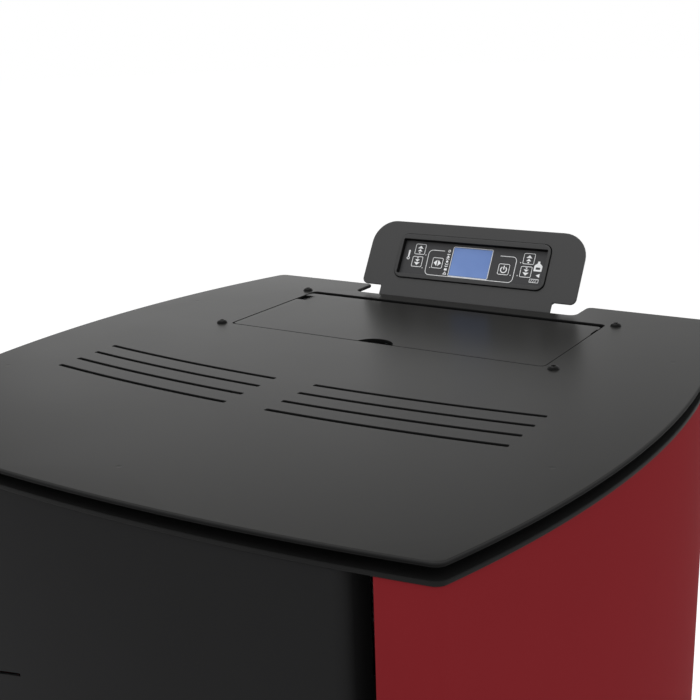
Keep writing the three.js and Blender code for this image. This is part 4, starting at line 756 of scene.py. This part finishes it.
def stud_places():
    places = [(0, FRONT_CENTRE_Y - FRONT_RADIUS + STUD.front_inset)]
    rear_y = MIDDLE_Y + HALF_SIDE / 2 + STUD.rear_step
    front_y = MIDDLE_Y - HALF_SIDE / 2 + STUD.front_step
    return places + [(x, y) for x in (-STUD.x, STUD.x) for y in (rear_y, front_y)]


def make_top_plate():
    outer_x = NOTCH.half + NOTCH.outer
    notch = [(outer_x, REAR_Y)]
    notch += arc(outer_x, REAR_Y - NOTCH.outer, NOTCH.outer, RIGHT, 2 * RIGHT, 6)[1:]
    notch += arc(NOTCH.half - NOTCH.inner, NOTCH.front + NOTCH.inner, NOTCH.inner, 0, -RIGHT, 6)
    holes = slot_outlines() + [box_of(MOUTH)]
    holes += [circle(x, y, SCREW.shank + RUNNING, 20) for x, y in screw_places().values()]
    dimples = [(x, y, STUD.radius, STUD.depth) for x, y in stud_places()]
    plate = slab(plan_outline(0, notch), PLATE_BOTTOM, TOP_Z, PLATE_EDGE, holes, dimples, HOLE_SHARE)
    stud = lathe([(STUD.shank, 0), (STUD.shank, PLATE_BOTTOM - RIM_HIGH - REST)])
    studs = [placed(stud, Matrix.Translation((x, y, RIM_HIGH + REST))) for x, y in stud_places()]
    top = stand_in("top_plate", joined([plate] + studs), TOP_PAINT, "casing")
    paint_shade_on_edges(top, len(plate[1]))


def make_rim_plate():
    part = slab(plan_outline(0), RIM_LOW, RIM_HIGH, RIM_EDGE, [box_of(RIM_WINDOW), box_of(RIM_MOUTH)])
    stand_in("rim_plate", part, RIM_PAINT, "casing")


def lid_outline():
    """The lid in plan, with its finger notch and the notches of its hinge ears."""
    centre = LID.front - FINGER.radius + FINGER.depth
    reach = math.asin((LID.front - centre) / FINGER.radius)
    finger = [(x, y, 0) for x, y in arc(0, centre, FINGER.radius, math.pi - reach, reach, 24)]

    def side(half, notch_x):
        return [(half, LID.front, LID.corner), (half, HINGE.front, HINGE.corner), (notch_x, HINGE.front, 0),
                (notch_x, HINGE.rear, 0), (half, HINGE.rear, HINGE.corner), (half, LID.rear, LID.corner)]

    right = side(LID.right, LID.right - HINGE.right_depth)
    left = [(-x, y, radius) for x, y, radius in reversed(side(LID.left, EAR_X - HINGE.bend))]
    return fillet(finger + right + left)


def lid_ears():
    """Two hanging leaves with pin holes, and the bend that carries the left one."""
    drop = TOP_Z - HINGE.drop
    knee = TOP_Z - HINGE.bend
    leaf = fillet([(HINGE.front, drop - HINGE.tip, HINGE.tip_corner),
                   (HINGE.rear, drop - HINGE.tip, HINGE.tip_corner),
                   (HINGE.rear, knee, 0), (HINGE.front, knee, 0)])
    pin_hole = circle((HINGE.front + HINGE.rear) / 2, drop, HINGE.pin + RUNNING, 20)
    ears = []
    for x in (-EAR_X, EAR_X - HINGE.ear):
        # The leaf is drawn as y and height and stands across x.
        across = Matrix(((0, 0, 1, x), (1, 0, 0, 0), (0, 1, 0, 0), (0, 0, 0, 1)))
        ears.append(placed(slab(leaf, 0, HINGE.ear, 0, [pin_hole]), across))
    # Only the left ear bends out of its notch; the right one hangs from the closed plate.
    root = EAR_X - HINGE.bend
    outside = arc(root, knee, HINGE.bend, RIGHT, 0, 8)
    within = arc(root, knee, HINGE.bend - HINGE.ear, 0, RIGHT, 8)
    elbow = [(root - HINGE.lap, TOP_Z)] + outside + within + [(root - HINGE.lap, TOP_Z - HINGE.ear)]
    ears.append(placed(slab([(-x, z) for x, z in elbow], HINGE.front, HINGE.rear), UPRIGHT))
    return ears


def make_lid():
    plate = slab(lid_outline(), PLATE_BOTTOM, TOP_Z, SHEET_EDGE)
    lid = stand_in("hopper_lid", joined([plate] + lid_ears()), TOP_PAINT, "lid")
    paint_shade_on_edges(lid, len(plate[1]))


def hexagon(radius, z, sides):
    """A ring in the shape of a hexagon, with as many points as a round one."""
    loop = []
    for x, y in circle(0, 0, 1, sides):
        turn = math.atan2(y, x) % (math.pi / 3) - math.pi / 6
        reach = radius * math.cos(math.pi / 6) / math.cos(turn)
        loop.append((x * reach, y * reach, z))
    return loop


def make_screws():
    """Button-head screws with a hexagon socket."""
    sides = 36
    sphere = (SCREW.head ** 2 + SCREW.rise ** 2) / (2 * SCREW.rise)
    edge = math.asin(SCREW.head / sphere)

    def dome(share):
        """The radius and height of the dome at a share of its angle."""
        return sphere * math.sin(edge * share), SCREW.rise - sphere * (1 - math.cos(edge * share))

    top = dome(SCREW.flat)[1]
    sink = 0.15
    step = 0.05
    loops = [ring(radius, z, sides) for radius, z in (
        (SCREW.shank, -SCREW.long), (SCREW.shank, 0), (SCREW.head - SCREW.lip, 0), dome(1), dome(0.9),
        dome(0.8), dome(0.7), dome(0.6), (SCREW.socket + 3 * sink, top))]
    loops += [hexagon(radius, z, sides) for radius, z in (
        (SCREW.socket + sink, top - step), (SCREW.socket, top - 5 * step), (SCREW.socket, top - SCREW.deep))]
    for name, (x, y) in screw_places().items():
        part = placed(loft(loops), Matrix.Translation((x, y, TOP_Z + SCREW.seat)))
        stand_in(f"hopper_screw_{name}", part, SCREW_BLACK, "casing", 35)


# ---- casing
def band(outside, within):
    return list(outside) + list(reversed(within))


def make_side_panels():
    outside = plan_side(RETURN_INSET, RETURN_FRONT_X, REAR_LIP_X)
    within = plan_side(RETURN_INSET + SIDE_SHEET, RETURN_FRONT_X, REAR_LIP_X)
    right = band(outside, within)
    for side, outline in (("left", mirrored(right)), ("right", right)):
        part = slab(outline, PANEL_LOW, PANEL_HIGH, SHEET_EDGE)
        stand_in(f"side_panel_{side}", part, RED_PAINT, "casing")


def bowed_sheet(node):
    """A folded sheet whose face follows the bowed front, as high as its CAD node."""
    low, high = (corner.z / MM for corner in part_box(node))
    outside = bowed_outline(FRONT.half, FRONT.inset, FRONT.corner)
    within = bowed_outline(FRONT.half - FRONT.sheet, FRONT.inset + FRONT.sheet, FRONT.corner - FRONT.sheet)
    # Both loops start at the middle of the bow; the band runs from one rear end round to the other.
    split = len(outside) // 2 + 1
    path = band(outside[split:] + outside[:split], within[split:] + within[:split])
    return slab(path, low, high, FRONT.edge)


def arch_cutters():
    """Bodies that leave the arched slots in the bowed sheet."""
    start, end = (math.acos(reach / ARCH.radius) for reach in (ARCH.outer, ARCH.end))
    first = TOP_Z - ARCH.drop - math.sqrt(ARCH.radius ** 2 - ARCH.end ** 2)
    cutters = []
    for row in range(ARCH.count):
        outline = bowed_slot(first - row * ARCH.pitch, ARCH, start, end, 16, 4)
        for shape in (outline, mirrored(outline)):
            body = slab(shape, FRONT_CORNER_Y - ARCH.ahead, FRONT_CORNER_Y + ARCH.behind)
            cutters.append(placed(body, UPRIGHT))
    return cutters


def make_front_panels():
    upper, lower = "upper_front_panel", "lower_front_panel"
    cut(stand_in(upper, bowed_sheet(upper), FRONT_PAINT, "casing"), arch_cutters())
    stand_in(lower, bowed_sheet(lower), FRONT_PAINT, "casing")


# ---- control panel
def bent(u, v, w):
    """The bracket's sheet: up the leaning face, round the bend and back along the foot."""
    up = Vector((math.sin(PANEL.lean), math.cos(PANEL.lean)))
    out = Vector((-up.y, up.x))
    begin = Vector((PANEL.y, TOP_Z)) + up * BEND_START
    past = BEND_START - v
    if past <= 0:
        place = begin - up * past + out * w
    else:
        facing = Matrix.Rotation(min(past / PANEL.bend, BEND_TURN), 2) @ out
        place = begin - out * PANEL.bend + facing * (PANEL.bend + w)
        place.x += max(past - BEND_TURN * PANEL.bend, 0)
    return u, place.x, place.y


def split_across(part, stops):
    """The part with its faces cut along each y in stops, so that it can follow a bend."""
    points, faces = part
    tidy = bmesh.new()
    corners = [tidy.verts.new(point) for point in points]
    for face in faces:
        tidy.faces.new([corners[index] for index in face])
    for stop in stops:
        everything = tidy.verts[:] + tidy.edges[:] + tidy.faces[:]
        bmesh.ops.bisect_plane(tidy, geom=everything, dist=1e-5, plane_co=(0, stop, 0), plane_no=(0, 1, 0))
    tidy.verts.index_update()
    points = [tuple(corner.co) for corner in tidy.verts]
    faces = [[corner.index for corner in face.verts] for face in tidy.faces]
    tidy.free()
    return points, faces


def make_bracket():
    stops = [BEND_START - BEND_TURN * PANEL.bend * step / 8 for step in range(9)]
    foot_end = stops[-1] - (PANEL.foot - BEND_TANGENT)
    right = [(PANEL.neck, foot_end, PANEL.foot_corner), (PANEL.neck, PANEL.low, PANEL.neck_corner),
             (PANEL.half, PANEL.low, PANEL.low_corner), (PANEL.half, PANEL.high, PANEL.top_corner)]
    left = [(-x, y, corner) for x, y, corner in reversed(right)]
    flat = slab(fillet(right + left, 10), -PANEL.sheet, 0, PANEL.edge, [box_of(SCREEN, 0, 8)])
    points, faces = split_across(flat, stops)
    part = [bent(*point) for point in points], faces
    stand_in("panel_bracket", part, BRACKET_PAINT, "casing")


def make_housing():
    """The bezel's flat lip, the recess that holds the foil, and the box behind the panel. Its walls carry
    painted shade: only faces that look out in front of the panel get the bezel's plastic colour.
    """
    behind = -PANEL.sheet - REST
    back = -HOUSING.depth
    lip = SCREEN.lip
    box = grown(SCREEN, HOUSING.flange)
    rim = grown(SCREEN, -SCREEN.gap)
    mouth = grown(RECESS, RECESS.edge)
    shoulder = 0.3 * HOUSING.back_edge
    bevel = 0.3 * SCREEN.edge
    steps = ((box, -HOUSING.back_edge, back), (box, -shoulder, back + shoulder),
             (box, 0, back + HOUSING.back_edge), (box, 0, behind - HOUSING.front_edge),
             (box, -HOUSING.front_edge, behind), (rim, 0, behind), (rim, 0, lip - SCREEN.edge),
             (rim, -bevel, lip - bevel), (rim, -SCREEN.edge, lip), (mouth, 0, lip),
             (RECESS, 0, lip - RECESS.edge), (RECESS, 0, RECESS.floor))
    loops = [[(x, y, z) for x, y in box_of(size, grow, 6)] for size, grow, z in steps]
    part = placed(loft(loops), PANEL_MATRIX)
    housing = stand_in("display_housing", part, FRIT_AND_SHADE_BLACK, "casing", 50)
    housing.data.materials.append(BEZEL)
    front = PANEL_MATRIX.to_3x3().col[2]
    level = (PANEL_MATRIX.translation + Vector((0, SHIFT_Y, 0))).dot(front) * MM
    # Painted shade: faces that don't look out in front of the panel keep the near-black material instead of
    # the bezel's colour.
    facing = 0.3
    for face in housing.data.polygons:
        if face.normal.dot(front) > facing and face.center.dot(front) > level:
            face.material_index = 1


def on_panel(parts):
    return placed(joined(parts), PANEL_MATRIX)


def key_outline(place, grow=0):
    x, y = place
    half_x, half_y = KEY.half_x + grow, KEY.half_y + grow
    return rounded(x - half_x, x + half_x, y - half_y, y + half_y, KEY.corner + grow, 4)


def display_outline(grow=0):
    return rounded(DISPLAY.left - grow, DISPLAY.right + grow, DISPLAY.low - grow, DISPLAY.high + grow,
                   DISPLAY.corner + grow, 4)


def make_foil():
    holes = [key_outline(place, KEY.hole) for place in KEYS.values()] + [display_outline()]
    foil = slab(box_of(FOIL, 0, 4), FOIL.face - FOIL.thickness, FOIL.face, FOIL.edge, holes)
    stand_in("display_foil", on_panel([foil]), FOIL_BLACK, "casing")
    window = slab(display_outline(-REST), FOIL.face - FOIL.thickness, FOIL.face - DISPLAY.sink, FOIL.edge)
    stand_in("display_module", on_panel([window]), LCD, "casing")


def printed(outline, holes=()):
    """A thin white print on the foil."""
    return slab(outline, FOIL.face, FOIL.face + PRINT, 0, holes)


def frame_print(x0, x1, y0, y1, radius, line):
    inner = rounded(x0 + line, x1 - line, y0 + line, y1 - line, max(radius - line, 0.3), 4)
    return printed(rounded(x0, x1, y0, y1, radius, 4), [inner])


def line_print(path, width):
    """A printed line along a path, with square ends."""
    left, right = [], []
    for index, point in enumerate(path):
        here = Vector(point)
        before = Vector(path[max(index - 1, 0)])
        after = Vector(path[min(index + 1, len(path) - 1)])
        ahead = (after - before).normalized()
        side = Vector((-ahead.y, ahead.x)) * (width / 2)
        left.append(tuple(here + side))
        right.append(tuple(here - side))
    return printed(left + right[::-1])


def arrow(x, y, half, tall):
    """A filled arrow head; a negative height points down."""
    return printed([(x - half, y), (x + half, y), (x, y + tall)])


def sideways_arrow(x, y, half, long):
    return printed([(x, y - half), (x, y + half), (x + long, y)])


def power_sign(x, y):
    ring_path = arc(x, y - POWER.drop, POWER.radius, RIGHT + POWER.gap, 5 * RIGHT - POWER.gap, 24)
    return [line_print(ring_path, POWER.line),
            line_print([(x, y + POWER.high), (x, y + POWER.low)], POWER.line)]


def key_marks(name, x, y):
    """Stacked arrow heads, two arrow heads back to back, or the power sign."""
    if name == "power":
        return power_sign(x, y)
    if name == "mode":
        return [sideways_arrow(x + 0.5, y, 2.8, 3), sideways_arrow(x - 0.5, y, 2.8, -3)]
    way = 1 if name.startswith("up") else -1
    return [arrow(x, y + way * rise, half, way * tall) for rise, half, tall in ARROWS]


def make_keys():
    for name, (x, y) in KEYS.items():
        key = f"key_{name}"
        pad = slab(key_outline((x, y)), FOIL.face - FOIL.thickness, FOIL.face, KEY.edge)
        stand_in(key, on_panel([pad]), FOIL_BLACK, key)
        half_x, half_y = KEY.half_x - KEY.line_in, KEY.half_y - KEY.line_in
        border = frame_print(x - half_x, x + half_x, y - half_y, y + half_y, KEY.corner, KEY.line)
        make(f"{key}_print", on_panel([border] + key_marks(name, x, y)), WHITE_INK, key)


def house_sign():
    """A filled house with a neck on its roof and a bare window."""
    wide, fine = HOUSE.corner, HOUSE.neck_corner
    outline = fillet([(HOUSE.left, HOUSE.low, wide), (HOUSE.right, HOUSE.low, wide),
                      (HOUSE.right, HOUSE.eaves, wide), (HOUSE.neck_right, HOUSE.roof, fine),
                      (HOUSE.neck_right, HOUSE.high, fine), (HOUSE.neck_left, HOUSE.high, fine),
                      (HOUSE.neck_left, HOUSE.roof, fine), (HOUSE.left, HOUSE.eaves, wide)], 2)
    return printed(outline, [rounded(*HOUSE_WINDOW, wide, 2)])


def thermometer():
    """An open bulb, a stem and an arrow head."""
    x, low, high, bulb, half = GAUGE.x, GAUGE.low, GAUGE.high, GAUGE.bulb, GAUGE.half
    stem = rounded(x - half, x + half, low + 2 * bulb + 0.1, high - GAUGE.tall - 0.1, 0.5, 3)
    return [printed(circle(x, low + bulb, bulb, 20), [circle(x, low + bulb, GAUGE.bore, 16)]),
            printed(stem), arrow(x, high - GAUGE.tall, GAUGE.head, GAUGE.tall)]


def column_line(y, rise=0):
    """A short line of the column; with a rise it is bent up or down in the middle."""
    ends = [(COLUMN.x - COLUMN.half, y), (COLUMN.x + COLUMN.half, y)]
    if rise:
        ends.insert(1, (COLUMN.x, y + rise))
    return line_print(ends, COLUMN.line)


def side_column():
    """The column of small marks left of the display, from the top down."""
    x = COLUMN.x
    warning = printed([(x - 1.9, 22.6), (x + 1.9, 22.6), (x, 25.4)],
                      [[(x - 0.9, 23.2), (x + 0.9, 23.2), (x, 24.5)]])
    return [frame_print(x - 1.2, x + 1.2, 42.4, 44.8, 1.15, 0.6), column_line(40.6),
            arrow(x, 37.7, 1.6, 2.1), column_line(36.2, 0.6), printed(circle(x, 34.2, 1.1, 12)),
            column_line(32.3, -1), column_line(30.4, -1),
            printed(rounded(x - 1.3, x + 1.3, 26.2, 28.1, 0.3, 2)), warning]


def u_line():
    """The printed line that runs from the mode key under the display to the power key."""
    path = [(U_LINE.start, U_LINE.y)]
    for x, y, radius, quarter in U_CORNERS:
        path += arc(x, y, radius, quarter * RIGHT, (quarter + 1) * RIGHT, 6)
    path.append((U_LINE.end, U_LINE.y))
    return line_print(path, U_LINE.line)


def make_prints():
    marks = [printed(display_outline(0.5), [display_outline()]), u_line(), house_sign()]
    marks += side_column() + thermometer()
    marks += [sideways_arrow(62.3, 29.3, 1.7, -3.2), frame_print(*BADGE, 0.4, 0.4)]
    marks += [line_print([(x, HATCHES.low), (x + HATCHES.lean, HATCHES.high)], HATCHES.line)
              for x in HATCHES.places]
    marks += [printed(circle(x, y, DOT_RADIUS, 10)) for x, y in DOTS]
    make("panel_print", on_panel(marks), WHITE_INK, "casing")


# ---- door and rear fittings
def node_box(name):
    """A node's corners in millimetres of the plan frame."""
    return [Vector((corner.x / MM, corner.y / MM - SHIFT_Y, corner.z / MM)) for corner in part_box(name)]


def make_frit():
    """The black border printed on the glass, which hides its clamping frame."""
    low, high = node_box("door_glass")
    sheet = Sizes(half=high.x - FRIT.lap, low=low.z + FRIT.lap, high=high.z - FRIT.lap, corner=2)
    window = grown(sheet, FRIT.window - FRIT.width - sheet.half)
    window.corner = FRIT.corner
    part = slab(box_of(sheet), low.y - FRIT.thickness, low.y, 0, [box_of(window)])
    make("glass_frit", placed(part, UPRIGHT), FRIT_AND_SHADE_BLACK, "door")


def make_handle():
    """A turned lever that hangs from its boss, with a steel end cap."""
    low, high = node_box("door_handle")
    grip, boss, reach, long = HANDLE.grip, HANDLE.boss, HANDLE.reach, HANDLE.long
    axis = (HANDLE.x, low.y + grip, high.z - boss)
    back = along(axis, (0, 1, 0))
    down = along(axis, (0, 0, -1))
    body = lathe([(boss - 2.5, -grip), (boss - 0.7, 0.6 - grip), (boss, 2.2 - grip), (boss, grip + 1),
                  (boss - 1, grip + 2), (boss - 1.6, grip + 4), (boss - 1.6, reach - 5), (boss, reach - 3.5),
                  (boss, reach - 0.6), (boss - 0.6, reach)])
    spindle = lathe([(HANDLE.spindle, 0), (HANDLE.spindle, high.y - axis[1])])
    end = long - HANDLE.cap
    lever = lathe([(grip - 1.2, 2), (grip - 1.2, 14), (grip - 0.5, 24), (grip, 42), (grip, end - 14),
                   (grip - 0.6, end - 1), (grip - 1.2, end)])
    turned_parts = joined([placed(body, back), placed(spindle, back), placed(lever, down)])
    stand_in("door_handle", turned_parts, GRIP, "handle")
    cap_body = lathe([(grip - 1.4, end - 0.5), (grip - 0.5, end + 0.4), (grip - 0.3, end + 1),
                      (grip - 0.3, end + 4.5), (grip - 1, long - 1.2), (grip - 2.4, long - 0.2)])
    make("door_handle_cap", placed(cap_body, down), STEEL, "handle")


def make_rear_screws():
    """Pan-head screws down both edges of the rear panel."""
    face = node_box("rear_panel")[1].y
    head, rise = REAR_SCREW.head, REAR_SCREW.rise
    shape = lathe([(head, 0), (head, 0.5), (head - 0.5, 1.2), (head - 1.4, rise - 0.15), (head - 2.2, rise),
                   (1.2, rise), (1.0, rise - 0.9)], 24)
    places = [(x, face, REAR_SCREW.low + row * REAR_SCREW.pitch) for x in (-REAR_SCREW.x, REAR_SCREW.x)
              for row in range(REAR_SCREW.count)]
    screws = [placed(shape, along(place, (0, 1, 0))) for place in places]
    make("rear_screws", joined(screws), STEEL, "casing", 30)


def make_vent_filter():
    """The foam pad behind the louvres of the rear panel."""
    y = node_box("rear_panel")[0].y - REST
    pad = slab(box_of(FILTER), y - FILTER.thickness, y, FILTER.edge)
    make("vent_filter", placed(pad, UPRIGHT), FOAM, "casing")


def make_pipe_trim(name, node, size, material):
    """A rolled bead near the pipe's open end and a sealing ring where it leaves the rear panel."""
    low, high = node_box(node)
    x, z = (low.x + high.x) / 2, (low.z + high.z) / 2
    inner = size.radius - SEAL.overlap
    turns = [math.pi * step / 8 for step in range(9)]
    roll = hoop([(inner + size.bead * math.sin(turn), -size.bead * math.cos(turn)) for turn in turns])
    face = node_box("rear_panel")[1].y
    seal = slab(circle(x, z, size.radius + size.ring, 64), face, face + SEAL.thickness, SEAL.edge,
                [circle(x, z, inner, 64)])
    part = joined([placed(roll, along((x, high.y - size.bead_in, z), (0, 1, 0))), placed(seal, UPRIGHT)])
    make(name, part, material, "casing")


# ---- the rest of the stove
def dress_nodes():
    for material, slot_name, bevel, nodes in (
            (FRONT_PAINT, "black_paint", 0.6, "rear_panel"),
            (DARK_SHEET, "black_paint", 0.6, "base_frame"),
            (FRONT_PAINT, "black_paint", 1.0, "ash_drawer_front"),
            (DOOR_IRON, "cast_iron", 1.5, "door_frame"),
            (GLASS, "ceramic_glass", 0.5, "door_glass"),
            (STEEL, "steel", 0.3, "glass_retainer"),
            (ROPE, "rope_seal", 1.5, "door_gasket"),
            (STEEL, "steel", 0.3, "lid_pin_left lid_pin_right auger_tube auger_screw auger_gearmotor"),
            (STEEL, "steel", 0.3, "door_pin_top door_pin_bottom door_latch igniter exhaust_fan_housing"),
            (STEEL, "steel", 0.3, "exhaust_impeller room_fan_rotor"),
            (ZINC, "zinc_sheet", 0.3, "hopper feed_chute ash_tray air_intake_pipe room_fan_housing"),
            (SOOTY, "cast_iron", 0.6, "fire_chamber baffle_plate burn_pot"),
            (BRICK, "refractory", 0.8, "fire_back"),
            (BOARD, "circuit_board", 0.3, "control_board"),
            (DARK_SHEET, "black_paint", 0.5, "exhaust_motor"),
            (DARK_SHEET, "black_paint", 0.4, "flue_spigot"),
            (PLASTIC, "black_plastic", 0.4, "mains_inlet rocker_switch"),
            (RUBBER, "rubber", 0.8, "foot_front_left foot_front_right foot_rear_left foot_rear_right")):
        for node in nodes.split():
            dress(node, material, bevel)


# ---- room, light and camera
def seen_directly(tree):
    """1 for rays that come from the camera, a reflection or through glass."""
    path = add_node(tree, "ShaderNodeLightPath")
    total = path.outputs["Is Camera Ray"]
    for name in ("Is Glossy Ray", "Is Transmission Ray"):
        either = add_node(tree, "ShaderNodeMath", total, path.outputs[name])
        either.operation = "MAXIMUM"
        total = either.outputs[0]
    return total


def make_world():
    """An even light, seen as white by the camera, in reflections and through glass."""
    world = bpy.data.worlds.new("studio")
    bpy.context.scene.world = world
    world.use_nodes = True
    tree = world.node_tree
    white = (1, 1, 1, 1)
    light = add_node(tree, "ShaderNodeBackground", Color=white, Strength=WORLD_LIGHT)
    backdrop = add_node(tree, "ShaderNodeBackground", Color=white, Strength=1)
    mix = add_node(tree, "ShaderNodeMixShader", seen_directly(tree), light.outputs[0], backdrop.outputs[0])
    tree.links.new(mix.outputs[0], tree.nodes["World Output"].inputs["Surface"])


def make_floor():
    """A pale floor that reads as white where no shadow lies on it."""
    material = bpy.data.materials.new("floor")
    material.use_nodes = True
    tree = material.node_tree
    surface = tree.nodes["Principled BSDF"]
    surface.inputs["Base Color"].default_value = (*grey(FLOOR.grey), 1)
    surface.inputs["Roughness"].default_value = 0.9
    surface.inputs["Specular IOR Level"].default_value = 0
    strength = add_node(tree, "ShaderNodeMath", seen_directly(tree), FLOOR.glow)
    strength.operation = "MULTIPLY"
    glow = add_node(tree, "ShaderNodeEmission", Strength=strength.outputs[0])
    both = add_node(tree, "ShaderNodeAddShader", surface.outputs[0], glow.outputs[0])
    tree.links.new(both.outputs[0], tree.nodes["Material Output"].inputs["Surface"])
    mesh = bpy.data.meshes.new("floor")
    mesh.from_pydata(ring(FLOOR.radius, 0, 64), [], [range(64)])
    mesh.materials.append(material)
    add_object("floor", mesh)


def area_light(name, place, target, size, power):
    lamp = bpy.data.lights.new(name, "AREA")
    lamp.shape = "DISK"
    lamp.size = size
    lamp.energy = power
    holder = add_object(name, lamp)
    holder.location = place
    holder.rotation_mode = "QUATERNION"
    holder.rotation_quaternion = (Vector(target) - Vector(place)).to_track_quat("-Z", "Y")


def make_camera():
    """The photograph's view: from the right of the front, looking down on the top."""
    forward = Vector(CAMERA.forward)
    right = Vector(CAMERA.right)
    camera = bpy.data.cameras.new("camera")
    camera.lens = CAMERA.lens
    camera.sensor_width = CAMERA.sensor
    camera.clip_start = CAMERA.near
    holder = add_object("camera", camera)
    turn = Matrix((right, right.cross(forward), -forward)).transposed().to_4x4()
    x, y, z = CAMERA.place
    holder.matrix_world = Matrix.Translation(Vector((x, y + SHIFT_Y, z)) * MM) @ turn
    bpy.context.scene.camera = holder


make_camera()
make_world()
make_floor()
area_light("overhead", (-0.3, 0.2, 2.8), (0, 0, 0.9), 1.6, 18)
area_light("rear_left", (-1.53, 2.08, 1.56), (-0.11, 0.11, 0.95), 1.8, 4.2)
bpy.context.scene.view_settings.view_transform = "Standard"

make_top_plate()
make_rim_plate()
make_lid()
make_screws()
make_side_panels()
make_front_panels()
make_bracket()
make_housing()
make_foil()
make_keys()
make_prints()
make_frit()
make_handle()
make_rear_screws()
make_vent_filter()
make_pipe_trim("flue_trim", "flue_spigot", FLUE, DARK_SHEET)
make_pipe_trim("intake_trim", "air_intake_pipe", INTAKE, ZINC)
dress_nodes()
